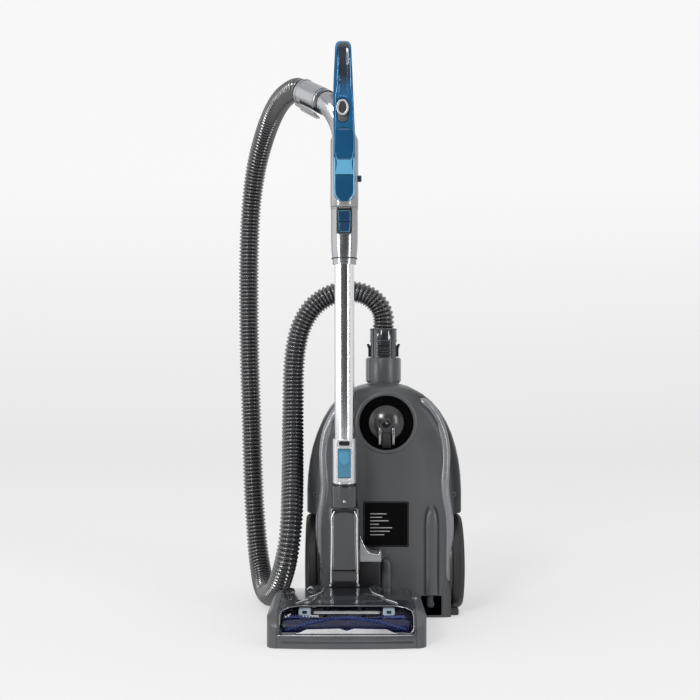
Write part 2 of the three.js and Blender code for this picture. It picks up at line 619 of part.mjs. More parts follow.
function buildHandle() {
  const tubeTop = 776;
  add(wandGroup, 'inner_tube', pipe('z', 0, 0, TUBE.innerR, TUBE.innerR - 1, 335, tubeTop, 24), MAT.chrome);
  add(wandGroup, 'handle_body', handleBody(), MAT.silver);
  add(wandGroup, 'grip_shell', gripShell(), MAT.blue);
  const inset = (x0, x1, z0, z1, r, y0, y1) =>
    extrude(roundedRect(x0, x1, z0, z1, r), 'y', y0, y1, 0, 0, 4);
  add(wandGroup, 'grip_strip', inset(-9, 4.6, 942.4, 1033.6, 5.6, -23, -19.2 - GAP), MAT.darkShell);
  add(wandGroup, 'fascia', inset(-10.6, 10.6, 756, 884.6, 8, -27, -25.2 - GAP), MAT.deepBlue);
  const oval = new THREE.Shape().absellipse(-3.2, 919, 10.4, 14, 0, 2 * Math.PI);
  add(wandGroup, 'slider', extrude(oval, 'y', -32, -28.8, [0.8, 0.8], 1, 12), MAT.brightSilver);
  add(wandGroup, 'side_knob', box(22.6, 29, -6, 2, 791, 803.7), MAT.deepBlue);

  const cuffGroup = new THREE.Group();
  cuffGroup.applyMatrix4(CUFF_FRAME);
  wandGroup.add(cuffGroup);
  const { length, r } = CUFF;
  add(cuffGroup, 'hose_cuff', lathe([
    [DUCT.bore, GAP], [r - 2, GAP], [r - 2, 4], [r, 5], [r, length - 3], [r - 3, length],
    [DUCT.bore, length], [DUCT.bore, GAP],
  ], 'z', 0, 0, 24), MAT.silver);

  // The latch lever lies along the underside of the cuff, in the plane of the axis and "down".
  const down = new THREE.Vector3(-0.496, 0.185, -0.867);
  down.addScaledVector(CUFF_AXIS, -down.dot(CUFF_AXIS)).normalize();
  const side = new THREE.Vector3().crossVectors(down, CUFF_AXIS);
  const latchGroup = new THREE.Group();
  latchGroup.position.copy(DUCT_END);
  latchGroup.quaternion.setFromRotationMatrix(new THREE.Matrix4().makeBasis(side, down, CUFF_AXIS));
  wandGroup.add(latchGroup);
  const lever = extrude(polygon([[24.4, -9], [24.4, 31], [27, 31], [37, -3], [37, -9]]), 'x', -7, 7);
  add(latchGroup, 'cuff_latch', lever, MAT.silver);
}

// ---------------------------------------------------------------- floor head

function headPlan(inset) {
  const w = HEAD.halfWidth - inset;
  const front = HEAD.front + inset;
  const back = HEAD.back - inset;
  const s = new THREE.Shape();
  s.moveTo(-w, front + 26);
  s.quadraticCurveTo(-w, front + 7, -w + 20, front + 5);
  s.quadraticCurveTo(0, front - 5, w - 20, front + 5);
  s.quadraticCurveTo(w, front + 7, w, front + 26);
  s.lineTo(w - 2, back - 60);
  s.quadraticCurveTo(w - 6, back - 6, w - 50, back - 2);
  s.lineTo(-w + 50, back - 2);
  s.quadraticCurveTo(-w + 6, back - 6, -w + 2, back - 60);
  return s;
}

function headProfile(inset) {
  const s = new THREE.Shape();
  s.moveTo(HEAD.back - inset, 0);
  s.lineTo(HEAD.back - inset, 46 - inset);
  s.quadraticCurveTo(HEAD.back - inset, 60 - inset, -144, 62 - inset);
  s.quadraticCurveTo(-200, 72 - inset, -262, 66 - inset);
  s.quadraticCurveTo(-318 + inset, 64 - inset, -329 + inset, 24);
  s.lineTo(-331 + inset, 0);
  return s;
}

// The head's outline from the front, with shoulders that fall away to both ends.
function headFront(inset) {
  const w = HEAD.halfWidth;
  return polygon([
    [-w, -1], [w, -1], [w, 50 - inset], [w - 8, 57 - inset], [w - 36, 64 - inset], [60, 90 - inset],
    [-60, 90 - inset], [36 - w, 64 - inset], [8 - w, 57 - inset], [-w, 50 - inset],
  ]);
}

const headBody = (inset) => extrude(headPlan(inset), 'z', 0, 90, 0, 0, 8)
  .intersect(extrude(headProfile(inset), 'x', -200, 200, 0, 0, 8))
  .intersect(extrude(headFront(inset), 'y', -400, 0));

function neckSlot() {
  const centre = WAND.x - HEAD.x;
  return box(centre - 30, centre + 30, -198, -110, HEAD.split - 1, 100);
}

const BEARING = { inner: 30.4, outer: 38 };
const HEAD_WHEEL = { x: 92, y: -146, r: 12, half: 5 };

// The head's rear edge is round about the tilt axis, so that it clears the canister as it tilts.
function rearTrim() {
  const behind = box(-FAR, FAR, HEAD.rearFrom, FAR, -FAR, FAR);
  return behind.subtract(rod('x', HEAD.hingeY, HEAD.hingeZ, HEAD.rearR, -FAR, FAR, 40));
}

function headBase() {
  const centre = WAND.x - HEAD.x;
  const cap = HEAD.capAt - GAP;
  let base = extrude(headPlan(0.6), 'z', 0, HEAD.split - GAP, 0, 0, 8);
  base = base.intersect(box(-cap, cap, -320.6, FAR, -FAR, FAR));
  const tray = box(-cap + 3, cap - 3, -268, 0, 0, 60);
  base = base.subtract(extrude(headPlan(3.6), 'z', 5, 60, 0, 0, 8).intersect(tray));
  base = base.subtract(box(-113, 113, -318.6, -272, -5, 60)).subtract(rearTrim());
  for (const side of [-1, 1]) {
    const post = box(BEARING.inner, BEARING.outer, -170, -146, 2, 55);
    base = base.add((side > 0 ? post : post.mirror([1, 0, 0])).translate([centre, 0, 0]));
    const x = side * HEAD_WHEEL.x;
    base = base.add(box(x - 9, x + 9, -163, -138, 3, HEAD.split - GAP));
    base = base.subtract(box(x - 5.6, x + 5.6, -159.5, -132.5, -5, 60));
    base = base.add(rod('x', HEAD_WHEEL.y, HEAD_WHEEL.r + 0.1, 2, x - 7, x + 7, 12));
    const pin = rod('x', HEAD.hingeY, HEAD.hingeZ, 5, 16.4, BEARING.outer - 1, 20);
    base = base.add((side > 0 ? pin : pin.mirror([1, 0, 0])).translate([centre, 0, 0]));
  }
  return mainPiece(base);
}

const WINDOW = { half: 110, top: -268, bottom: 24 };

function headCover() {
  const cap = HEAD.capAt - GAP;
  let cover = headBody(0).subtract(headBody(SKIN));
  cover = cover.intersect(box(-cap, cap, -FAR, FAR, HEAD.split, FAR));
  cover = cover.subtract(box(-FAR, FAR, -FAR, -320.6, -5, 22.4));
  cover = cover.subtract(neckSlot()).subtract(rearTrim());
  return cover.subtract(box(-WINDOW.half, WINDOW.half, -FAR, WINDOW.top, WINDOW.bottom, FAR));
}

function headWindow() {
  const { half, top, bottom } = WINDOW;
  const pane = box(-half + GAP, half - GAP, -FAR, top - GAP, bottom + GAP, FAR);
  return headBody(0.2).subtract(headBody(2.4)).intersect(pane);
}

function brushRoller() {
  const { rollerY, rollerZ, rollerR } = HEAD;
  return lathe([
    [0, -112], [4, -112], [4, -108], [18, -108], [18, -104], [rollerR, -103], [rollerR, 99], [18, 100],
    [18, 101], [8, 101], [8, 111], [4, 111], [4, 112], [0, 112],
  ], 'x', rollerY, rollerZ, 20);
}

const BRUSH_MOTOR = { y: -236, z: 38, r: 17 };

function driveBelt() {
  const { y, z } = BRUSH_MOTOR;
  const run = new THREE.Vector2(HEAD.rollerY - y, HEAD.rollerZ - z);
  const tilt = Math.atan2(run.y, run.x);
  const loop = (r) => {
    const s = new THREE.Shape();
    s.absarc(0, 0, r, Math.PI / 2, (3 * Math.PI) / 2);
    s.absarc(run.length(), 0, r, -Math.PI / 2, Math.PI / 2);
    return s;
  };
  const band = extrude(loop(10.6), 'z', 0, 6, 0, 0, 6);
  return band.subtract(extrude(loop(8.6), 'z', -1, 7, 0, 0, 6)).rotate([0, 0, (tilt * 180) / Math.PI]);
}

function buildHead() {
  const centre = WAND.x - HEAD.x;
  add(headGroup, 'head_base', headBase(), MAT.darkShell);
  add(headGroup, 'head_cover', headCover(), MAT.shell);
  add(headGroup, 'head_window', headWindow(), MAT.clear);
  const nose = box(-HEAD.capAt + GAP, HEAD.capAt - GAP, -FAR, -321, -5, 60);
  const bumper = extrude(headPlan(0), 'z', 0, 22, [1, 2], 1, 8).intersect(nose);
  add(headGroup, 'front_bumper', bumper, MAT.black);
  const capSolid = headBody(0).subtract(rearTrim());
  for (const [side, name] of [[-1, 'left'], [1, 'right']]) {
    const zone = box(HEAD.capAt, FAR, -FAR, FAR, -FAR, FAR);
    let cap = capSolid.intersect(side > 0 ? zone : zone.mirror([1, 0, 0]));
    cap = cap.subtract(rod('x', HEAD.rollerY, HEAD.rollerZ, 5, -118, 118, 16));
    add(headGroup, `end_cap_${name}`, cap, MAT.shell);
    const { x, y, r, half } = HEAD_WHEEL;
    add(headGroup, `head_wheel_${name}`,
      pipe('x', y, r + 0.1, r, 2 + GAP, side * x - half, side * x + half, 24), MAT.rubber);
  }
  add(headGroup, 'light_bar', box(-56, 56, -276, -269, 45.5, 50), MAT.white);
  add(headGroup, 'brush_roller', brushRoller(), MAT.bristle);
  const { y, z, r } = BRUSH_MOTOR;
  const motor = rod('x', y, z, r, 34, 98, 20).add(rod('x', y, z, 8, 97, 111, 16));
  add(headGroup, 'brush_motor', motor, MAT.steel);
  const belt = add(headGroup, 'drive_belt', driveBelt(), MAT.rubber);
  belt.geometry.applyMatrix4(TO_AXIS.x);
  belt.position.set(103, y, z);
}

// ---------------------------------------------------------------- hose

// The hose is one tube in two lengths that meet end to end at the bottom of its loop.
const HOSE_ROUTE = [
  [0, -20, 534.2], [0, -20, 553], [-6, -20, 573], [-21, -19, 590], [-39, -18, 600], [-57, -16, 604],
  [-76, -14, 604], [-96, -12, 600], [-118, -10, 589], [-139, -10, 570], [-157, -10, 539],
  [-167, -10, 503], [-172, -12, 457], [-173, -19, 406], [-173, -35, 345], [-172, -60, 286],
  [-171, -90, 234], [-171, -114, 190], [-174, -127, 148], [-180, -127, 111], [-189, -112, 77],
  [-201, -82, 45], [-215, -40, 26], [-226, 5, 22.5], [-235, 38, 32], [-243, 68, 57], [-250, 90, 92],
  [-255, 105, 135], [-260, 118, 190], [-264, 131, 266], [-268, 144, 368], [-272, 153, 471],
  [-274, 158, 575], [-274, 160, 679], [-271, 156, 760], [-265, 145, 818], [-254, 122, 872],
  [-238, 88, 917], [-219, 42, 951], [-199, -10, 970], [-178, -62, 976], [-159, -99, 974],
];
const LOOP_BOTTOM = 22; // the route's point where the two lengths meet

function hoseTube(points, steps) {
  return solid(sweep(points, HOSE.diameter / 2, HOSE.sides, steps));
}

// A disc that fills the tube's section beyond a plane through a point, used to square off an end.
function squareOff(point, direction, from, to) {
  const frame = new THREE.Matrix4().compose(
    point,
    new THREE.Quaternion().setFromUnitVectors(new THREE.Vector3(0, 0, 1), direction),
    new THREE.Vector3(1, 1, 1),
  );
  return rod('z', 0, 0, 50, from, to, 16).transform(frame.elements);
}

function buildHose() {
  const cuffEnd = new THREE.Vector3(WAND.x, WAND.y, 0).add(DUCT_END)
    .addScaledVector(CUFF_AXIS, CUFF.length);
  const meet = new THREE.Vector3(...HOSE_ROUTE[LOOP_BOTTOM]);
  const onward = new THREE.Vector3(...HOSE_ROUTE[LOOP_BOTTOM + 1])
    .sub(new THREE.Vector3(...HOSE_ROUTE[LOOP_BOTTOM - 1])).normalize();
  const lower = hoseTube(HOSE_ROUTE.slice(0, LOOP_BOTTOM + 2), 26)
    .subtract(squareOff(meet, onward, 0, 80));
  const end = cuffEnd.toArray();
  const upper = hoseTube([...HOSE_ROUTE.slice(LOOP_BOTTOM - 1), end], 34)
    .subtract(squareOff(meet, onward, -80, GAP))
    .subtract(squareOff(cuffEnd, CUFF_AXIS, -40, GAP));
  add(group, 'hose_lower', lower, MAT.hose);
  add(group, 'hose_upper', upper, MAT.hose);
}

buildCanister();
buildInside();
buildWheels();
buildCastor();
buildInlet();
buildWand();
buildParkHook();
buildHandle();
buildHead();
buildHose();

export default group;
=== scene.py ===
"""Cylinder vacuum cleaner parked upright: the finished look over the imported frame.

Lengths in this script are millimetres in the row frame and are turned into metres as meshes are made.
"""
import json
import math
import bmesh
import bpy
from mathutils import Matrix, Vector
from mathutils.bvhtree import BVHTree


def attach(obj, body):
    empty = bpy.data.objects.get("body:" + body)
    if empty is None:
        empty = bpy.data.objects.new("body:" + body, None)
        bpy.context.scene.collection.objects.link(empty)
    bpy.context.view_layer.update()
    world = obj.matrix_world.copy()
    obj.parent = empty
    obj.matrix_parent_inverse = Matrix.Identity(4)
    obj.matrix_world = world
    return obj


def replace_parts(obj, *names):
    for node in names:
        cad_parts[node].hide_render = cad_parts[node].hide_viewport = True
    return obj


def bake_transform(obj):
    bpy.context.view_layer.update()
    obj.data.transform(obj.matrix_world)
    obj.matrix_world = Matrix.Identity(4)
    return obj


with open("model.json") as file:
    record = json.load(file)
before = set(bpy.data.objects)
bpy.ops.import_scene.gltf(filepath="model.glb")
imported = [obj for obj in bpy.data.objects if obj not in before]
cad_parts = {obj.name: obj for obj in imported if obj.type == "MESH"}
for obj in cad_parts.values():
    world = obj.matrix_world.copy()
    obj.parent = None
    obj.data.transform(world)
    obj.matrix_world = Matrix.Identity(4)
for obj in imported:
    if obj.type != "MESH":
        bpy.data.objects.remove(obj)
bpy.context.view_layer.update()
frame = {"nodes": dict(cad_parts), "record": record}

MM = 0.001
NODES = frame["nodes"]

# ---------------------------------------------------------------- camera

CAMERA_AT = (-64, -2170, 492)
CAMERA_LENS = 57.6
SENSOR = 36


def make_camera():
    """A level camera in front of the cleaner."""
    data = bpy.data.cameras.new("camera")
    data.lens = CAMERA_LENS
    data.sensor_width = SENSOR
    data.clip_end = 50
    camera = bpy.data.objects.new("camera", data)
    camera.location = Vector(CAMERA_AT) * MM
    camera.rotation_euler = (math.pi / 2, 0, 0)
    bpy.context.scene.collection.objects.link(camera)
    bpy.context.scene.camera = camera


make_camera()

# ---------------------------------------------------------------- mesh helpers


def link(name, bm, material, body, smooth=40, bevel=0, segments=2):
    """Turns a bmesh in millimetres into a piece that rides on a body."""
    bmesh.ops.scale(bm, vec=(MM, MM, MM), verts=bm.verts)
    bmesh.ops.recalc_face_normals(bm, faces=bm.faces)
    mesh = bpy.data.meshes.new(name)
    bm.to_mesh(mesh)
    bm.free()
    mesh.materials.append(material)
    piece = bpy.data.objects.new(name, mesh)
    bpy.context.scene.collection.objects.link(piece)
    mesh.shade_smooth()
    mesh.set_sharp_from_angle(angle=math.radians(smooth))
    if bevel:
        add_bevel(piece, bevel, segments)
    if body:
        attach(piece, body)
    return piece


def add_bevel(piece, width, segments=2, angle=35):
    """Rounds the edges that are sharper than an angle."""
    bevel = piece.modifiers.new("edge", "BEVEL")
    bevel.width = width * MM
    bevel.segments = segments
    bevel.limit_method = "ANGLE"
    bevel.angle_limit = math.radians(angle)
    bevel.harden_normals = True


def place(axis, a, b, h):
    """A point from its two cross coordinates and its height along an axis."""
    if axis == "x":
        return Vector((h, a, b))
    if axis == "y":
        return Vector((a, h, b))
    return Vector((a, b, h))


def skin(bm, rings, closed=False, cap=True):
    """Joins rings of equally many points into one surface."""
    loops = [[bm.verts.new(p) for p in ring] for ring in rings]
    count = len(loops[0])
    pairs = list(zip(loops, loops[1:]))
    if closed:
        pairs.append((loops[-1], loops[0]))
    for low, high in pairs:
        for i in range(count):
            j = (i + 1) % count
            bm.faces.new((low[i], low[j], high[j], high[i]))
    if cap and not closed:
        bm.faces.new(loops[0])
        bm.faces.new(loops[-1])
    return bm


def turned(profile, axis, a, b, segments=48, closed=False, start=0, sweep=360):
    """A profile of (radius, height) points turned about an axis through (a, b)."""
    bm = bmesh.new()
    rings = []
    for radius, height in profile:
        ring = []
        for i in range(segments):
            angle = math.radians(start + sweep * i / segments)
            ring.append(place(axis, a + radius * math.cos(angle), b + radius * math.sin(angle), height))
        rings.append(ring)
    return skin(bm, rings, closed=closed)


def prism(outline, axis, low, high):
    """An outline of cross coordinates carried along an axis."""
    bm = bmesh.new()
    return skin(bm, [[place(axis, a, b, h) for a, b in outline] for h in (low, high)])


def frame_prism(outer, inner, axis, low, high):
    """A flat frame between two outlines with equally many points."""
    bm = bmesh.new()
    rings = [
        [place(axis, a, b, low) for a, b in outer],
        [place(axis, a, b, high) for a, b in outer],
        [place(axis, a, b, high) for a, b in inner],
        [place(axis, a, b, low) for a, b in inner],
    ]
    return skin(bm, rings, closed=True)


def rounded(x0, x1, z0, z1, radius, steps=6):
    """The outline of a rectangle with round corners."""
    corners = [
        (x1 - radius, z0 + radius, -90), (x1 - radius, z1 - radius, 0),
        (x0 + radius, z1 - radius, 90), (x0 + radius, z0 + radius, 180),
    ]
    points = []
    for cx, cz, start in corners:
        for i in range(steps + 1):
            angle = math.radians(start + 90 * i / steps)
            points.append((cx + radius * math.cos(angle), cz + radius * math.sin(angle)))
    return points


def oval(cx, cz, rx, rz, count=40):
    """The outline of an ellipse."""
    turn = 2 * math.pi / count
    return [(cx + rx * math.cos(i * turn), cz + rz * math.sin(i * turn)) for i in range(count)]


def smooth_line(points, spacing):
    """Points at an even spacing along a centripetal Catmull-Rom line through the given ones."""
    p = [Vector(q) for q in points]
    p = [2 * p[0] - p[1]] + p + [2 * p[-1] - p[-2]]
    fine = []
    for a, b, c, d in zip(p, p[1:], p[2:], p[3:]):
        t = [0.0]
        for u, v in ((a, b), (b, c), (c, d)):
            t.append(t[-1] + max((v - u).length, 1e-6) ** 0.5)
        for i in range(24):
            s = t[1] + (t[2] - t[1]) * i / 24

            def mix(u, v, i0, i1):
                span = t[i1] - t[i0]
                return u * ((t[i1] - s) / span) + v * ((s - t[i0]) / span)

            a1, a2, a3 = mix(a, b, 0, 1), mix(b, c, 1, 2), mix(c, d, 2, 3)
            b1, b2 = mix(a1, a2, 0, 2), mix(a2, a3, 1, 3)
            fine.append(mix(b1, b2, 1, 2))
    fine.append(p[-2].copy())
    total = sum((v - u).length for u, v in zip(fine, fine[1:]))
    count = max(2, round(total / spacing))
    step = total / count
    out, run, want = [fine[0]], 0.0, step
    for u, v in zip(fine, fine[1:]):
        length = (v - u).length
        while run + length >= want - 1e-6 and len(out) < count:
            out.append(u.lerp(v, (want - run) / length))
            want += step
        run += length
    out.append(fine[-1])
    return out, total


def along(points, radii, sides=24, cap=True):
    """A round tube whose radius changes from point to point."""
    bm = bmesh.new()
    tangents = []
    last = len(points) - 1
    for i in range(len(points)):
        tangents.append((points[min(i + 1, last)] - points[max(i - 1, 0)]).normalized())
    normal = tangents[0].orthogonal().normalized()
    rings = []
    for point, tangent, radius in zip(points, tangents, radii):
        normal = (normal - tangent * normal.dot(tangent)).normalized()
        other = tangent.cross(normal)
        ring = []
        for i in range(sides):
            angle = 2 * math.pi * i / sides
            ring.append(point + (normal * math.cos(angle) + other * math.sin(angle)) * radius)
        rings.append(ring)
    return skin(bm, rings, cap=cap)


# ---------------------------------------------------------------- materials


def material(name, color, roughness, metallic=0.0, grain=0.0, grain_scale=900, mottle=0.06,
             rough_spread=0.06, coat=0.0, specular=0.5, wear=0.0, flake=0.0, alpha=1.0, brushed=None):
    """A moulded or metal surface with grain, colour and gloss variation and worn edges."""
    made = bpy.data.materials.new(name)
    made.use_nodes = True
    tree = made.node_tree
    nodes, links = tree.nodes, tree.links
    shader = nodes["Principled BSDF"]
    shader.inputs["Metallic"].default_value = metallic
    shader.inputs["Coat Weight"].default_value = coat
    shader.inputs["Coat Roughness"].default_value = 0.06
    shader.inputs["Specular IOR Level"].default_value = specular
    shader.inputs["Alpha"].default_value = alpha
    coords = nodes.new("ShaderNodeTexCoord")

    def noise(scale, detail=3.0, stretch=(1, 1, 1)):
        mapping = nodes.new("ShaderNodeMapping")
        mapping.inputs["Scale"].default_value = stretch
        links.new(coords.outputs["Object"], mapping.inputs["Vector"])
        texture = nodes.new("ShaderNodeTexNoise")
        texture.inputs["Scale"].default_value = scale
        texture.inputs["Detail"].default_value = detail
        links.new(mapping.outputs["Vector"], texture.inputs["Vector"])
        return texture.outputs["Fac"]

    def spread(fac, low, high):
        ranged = nodes.new("ShaderNodeMapRange")
        ranged.inputs["From Min"].default_value = 0.3
        ranged.inputs["From Max"].default_value = 0.7
        ranged.inputs["To Min"].default_value = low
        ranged.inputs["To Max"].default_value = high
        links.new(fac, ranged.inputs["Value"])
        return ranged.outputs["Result"]

    cloud = noise(9, 4)
    shade = nodes.new("ShaderNodeMix")
    shade.data_type = "RGBA"
    shade.inputs["A"].default_value = (*[c * (1 - mottle) for c in color], 1)
    shade.inputs["B"].default_value = (*[min(1, c * (1 + mottle)) for c in color], 1)
    links.new(spread(cloud, 0, 1), shade.inputs["Factor"])
    tint = shade.outputs["Result"]
    if flake:
        sparkle = nodes.new("ShaderNodeMix")
        sparkle.data_type = "RGBA"
        sparkle.inputs["B"].default_value = (*[min(1, c * 2.2 + 0.03) for c in color], 1)
        links.new(spread(noise(4200, 1), 0, flake), sparkle.inputs["Factor"])
        links.new(tint, sparkle.inputs["A"])
        tint = sparkle.outputs["Result"]
    if wear:
        geometry = nodes.new("ShaderNodeNewGeometry")
        edge = nodes.new("ShaderNodeMapRange")
        edge.inputs["From Min"].default_value = 0.53
        edge.inputs["From Max"].default_value = 0.66
        edge.inputs["To Max"].default_value = wear
        links.new(geometry.outputs["Pointiness"], edge.inputs["Value"])
        worn = nodes.new("ShaderNodeMix")
        worn.data_type = "RGBA"
        worn.inputs["B"].default_value = (*[min(1, c * 1.5 + 0.03) for c in color], 1)
        links.new(edge.outputs["Result"], worn.inputs["Factor"])
        links.new(tint, worn.inputs["A"])
        tint = worn.outputs["Result"]
    links.new(tint, shader.inputs["Base Color"])
    low, high = max(0.02, roughness - rough_spread), min(1, roughness + rough_spread)
    links.new(spread(noise(26, 5, brushed or (1, 1, 1)), low, high), shader.inputs["Roughness"])
    if grain:
        bump = nodes.new("ShaderNodeBump")
        bump.inputs["Strength"].default_value = grain
        bump.inputs["Distance"].default_value = 0.0002
        links.new(noise(grain_scale, 2, brushed or (1, 1, 1)), bump.inputs["Height"])
        links.new(bump.outputs["Normal"], shader.inputs["Normal"])
    return made


SHELL_GREY = (0.056, 0.058, 0.062)
MATERIALS = {
    "shell": material("satin_grey", SHELL_GREY, 0.36, grain=0.2, grain_scale=1500, wear=0.25),
    "dark_shell": material("dark_grey", (0.028, 0.029, 0.032), 0.36, grain=0.2, grain_scale=1500, wear=0.3),
    "black": material("black_moulding", (0.007, 0.007, 0.008), 0.34, grain=0.15, wear=0.3, specular=0.4),
    "rubber": material("soft_rubber", (0.016, 0.016, 0.017), 0.7, grain=0.5, grain_scale=700),
    "silver": material("silver_grey", (0.3, 0.303, 0.315), 0.22, metallic=0.95, flake=0.12, grain=0.04,
                       mottle=0.1),
    "bright_silver": material("light_silver", (0.62, 0.625, 0.64), 0.26, metallic=0.75, flake=0.12, coat=0.2),
    "chrome": material("polished_tube", (0.72, 0.73, 0.75), 0.15, metallic=1, mottle=0.02, rough_spread=0.05,
                       brushed=(40, 40, 0.6)),
    "blue": material("metallic_blue", (0.016, 0.13, 0.29), 0.2, metallic=0.55, flake=0.2, coat=0.7,
                     mottle=0.12),
    "deep_blue": material("dark_blue", (0.006, 0.06, 0.135), 0.14, coat=0.7, mottle=0.18),
    "light_blue": material("cyan_blue", (0.035, 0.19, 0.31), 0.16, coat=0.7, mottle=0.15),
    "hose": material("hose_charcoal", (0.014, 0.0145, 0.017), 0.24, mottle=0.2, rough_spread=0.06, coat=1,
                     specular=0.7),
    "steel": material("machined_steel", (0.5, 0.5, 0.52), 0.3, metallic=1, brushed=(8, 8, 60), grain=0.1),
    "clear": material("smoked_window", (0.001, 0.002, 0.01), 0.03, alpha=0.12, mottle=0.03, specular=0.3,
                      rough_spread=0.02),
    "bristle": material("blue_bristle", (0.03, 0.06, 0.24), 0.5, grain=0.8, grain_scale=1800, mottle=0.3),
    "white": material("white_moulding", (0.75, 0.76, 0.76), 0.3, grain=0.1),
    "paper": material("filter_fleece", (0.62, 0.59, 0.52), 0.9, grain=0.8, grain_scale=500, mottle=0.1),
    "foam": material("filter_foam", (0.04, 0.04, 0.045), 0.95, grain=1.0, grain_scale=350, mottle=0.3),
    "label": material("black_film", (0.001, 0.001, 0.001), 0.45, mottle=0.1, rough_spread=0.05,
                      specular=0.06),
}
M = MATERIALS
GLOSS_DARK = material("gloss_dark_grey", (0.026, 0.028, 0.032), 0.18, metallic=0.3, coat=0.9, mottle=0.15,
                      grain=0.02)
GLOSS_BLACK = material("gloss_black", (0.008, 0.008, 0.01), 0.12, coat=0.6, mottle=0.1, rough_spread=0.04)
ROLLER_BLUE = material("roller_blue", (0.003, 0.006, 0.045), 0.25, coat=0.5, mottle=0.3)
DOME_GREY = material("dome_grey", (0.015, 0.0155, 0.017), 0.27, coat=0.25, mottle=0.1)
BUMPER_GREY = material("bumper_grey", (0.07, 0.074, 0.08), 0.3, metallic=0.2, coat=0.4, mottle=0.1)
# painted highlight: a grey about three times lighter than the shell, for the light band along the underside
# ridges
RIDGE_HIGHLIGHT_GREY = material("ridge_painted_highlight", (0.17, 0.175, 0.185), 0.28, metallic=0.3, coat=0.3, mottle=0.08)
PALE_BLUE = material("pale_blue", (0.1, 0.3, 0.47), 0.14, coat=0.8, mottle=0.15)
BUTTON_BLUE = material("button_blue", (0.02, 0.13, 0.22), 0.16, coat=0.8, mottle=0.2)
NAVY = material("navy_blue", (0.006, 0.035, 0.085), 0.18, coat=0.7, mottle=0.15)
BROWN_GREY = material("brown_grey", (0.045, 0.038, 0.036), 0.22, coat=0.5, mottle=0.2)
PALE_CLIP = material("pale_clip", (0.5, 0.62, 0.7), 0.3, coat=0.3, mottle=0.08)
# painted shade: a near-black with almost no specular, laid inside recesses so that they read as deep shade
PAINTED_SHADE_BLACK = material("painted_shade_black", (0.0006, 0.0006, 0.0006), 0.7, mottle=0.2, specular=0.03)

# ---------------------------------------------------------------- hose

HOSE_DIAMETER = 42
HOSE_PITCH = 7.5
HOSE_VALLEY = 4
HOSE_ROUTE = [
    (0, -20, 534.2), (0, -20, 553), (-6, -20, 573), (-21, -19, 590), (-39, -18, 600), (-57, -16, 604),
    (-76, -14, 604), (-96, -12, 600), (-118, -10, 589), (-139, -10, 570), (-157, -10, 539),
    (-167, -10, 503), (-172, -12, 457), (-173, -19, 406), (-173, -35, 345), (-172, -60, 286),
    (-171, -90, 234), (-171, -114, 190), (-174, -127, 148), (-180, -127, 111), (-189, -112, 77),
    (-201, -82, 45), (-215, -40, 26), (-226, 5, 22.5), (-235, 38, 32), (-243, 68, 57), (-250, 90, 92),
    (-255, 105, 135), (-260, 118, 190), (-264, 131, 266), (-268, 144, 368), (-272, 153, 471),
    (-274, 158, 575), (-274, 160, 679), (-271, 156, 760), (-265, 145, 818), (-254, 122, 872),
    (-238, 88, 917), (-219, 42, 951), (-199, -10, 970), (-178, -62, 976), (-159, -99, 974),
    (-148.5, -109.8, 966.6),
]
LOOP_BOTTOM = 22


def hose_length(node, route):
    """One length of the corrugated hose, with its ribs at an even pitch."""
    rib = [HOSE_VALLEY, 2.1, 0.5, 0, 0.5, 2.1]
    line, total = smooth_line(route, HOSE_PITCH / len(rib))
    radii = [HOSE_DIAMETER / 2 - rib[i % len(rib)] for i in range(len(line))]
    piece = link(node + "_ribbed", along(line, radii, sides=28), M["hose"], None, smooth=75)
    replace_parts(piece, node)
    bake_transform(piece)


hose_length("hose_lower", HOSE_ROUTE[:LOOP_BOTTOM + 1])
hose_length("hose_upper", HOSE_ROUTE[LOOP_BOTTOM:])

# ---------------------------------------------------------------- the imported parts


def finish_cad_parts():
    """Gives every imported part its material, smooth shading and softly broken edges."""
    slots = {part["node"]: part["material_slot"] for part in frame["record"]["subparts"]}
    for name, part in NODES.items():
        mesh = part.data
        mesh.materials.clear()
        mesh.materials.append(SPECIAL.get(name, M[slots[name]]))
        mesh.shade_smooth()
        if "custom_normal" in mesh.attributes:
            mesh.attributes.remove(mesh.attributes["custom_normal"])
        weld = part.modifiers.new("weld", "WELD")
        weld.merge_threshold = 0.02 * MM
        flat = part.modifiers.new("flat", "DECIMATE")
        flat.decimate_type = "DISSOLVE"
        flat.angle_limit = math.radians(0.5)
        add_bevel(part, SOFT_EDGES.get(name, 0.4), 2)


def shell_with_painted_flank_shade():
    """The underside shell: satin grey on the flat, with painted shade that darkens it where it turns round to
    the sides.
    """
    made = material("satin_grey_painted_flank_shade", SHELL_GREY, 0.34, grain=0.2, grain_scale=1500, wear=0.25)
    nodes, links = made.node_tree.nodes, made.node_tree.links
    shader = nodes["Principled BSDF"]
    tint = shader.inputs["Base Color"].links[0].from_socket
    coords = nodes.new("ShaderNodeTexCoord")
    split = nodes.new("ShaderNodeSeparateXYZ")
    size = nodes.new("ShaderNodeMath")
    size.operation = "ABSOLUTE"
    side = nodes.new("ShaderNodeMapRange")
    side.inputs["From Min"].default_value = 0.05
    side.inputs["From Max"].default_value = 0.55
    shine = nodes.new("ShaderNodeMapRange")
    shine.inputs["From Min"].default_value = 0.05
    shine.inputs["From Max"].default_value = 0.55
    shine.inputs["To Min"].default_value = 0.5
    shine.inputs["To Max"].default_value = 0.08
    links.new(size.outputs["Value"], shine.inputs["Value"])
    links.new(shine.outputs["Result"], shader.inputs["Specular IOR Level"])
    # painted shade: the base colour is mixed towards a darker grey on surfaces that face sideways
    mix = nodes.new("ShaderNodeMix")
    mix.data_type = "RGBA"
    mix.inputs["B"].default_value = (0.026, 0.027, 0.029, 1)
    links.new(coords.outputs["Normal"], split.inputs["Vector"])
    links.new(split.outputs["X"], size.inputs[0])
    links.new(size.outputs["Value"], side.inputs["Value"])
    links.new(side.outputs["Result"], mix.inputs["Factor"])
    links.new(tint, mix.inputs["A"])
    links.new(mix.outputs["Result"], shader.inputs["Base Color"])
    return made


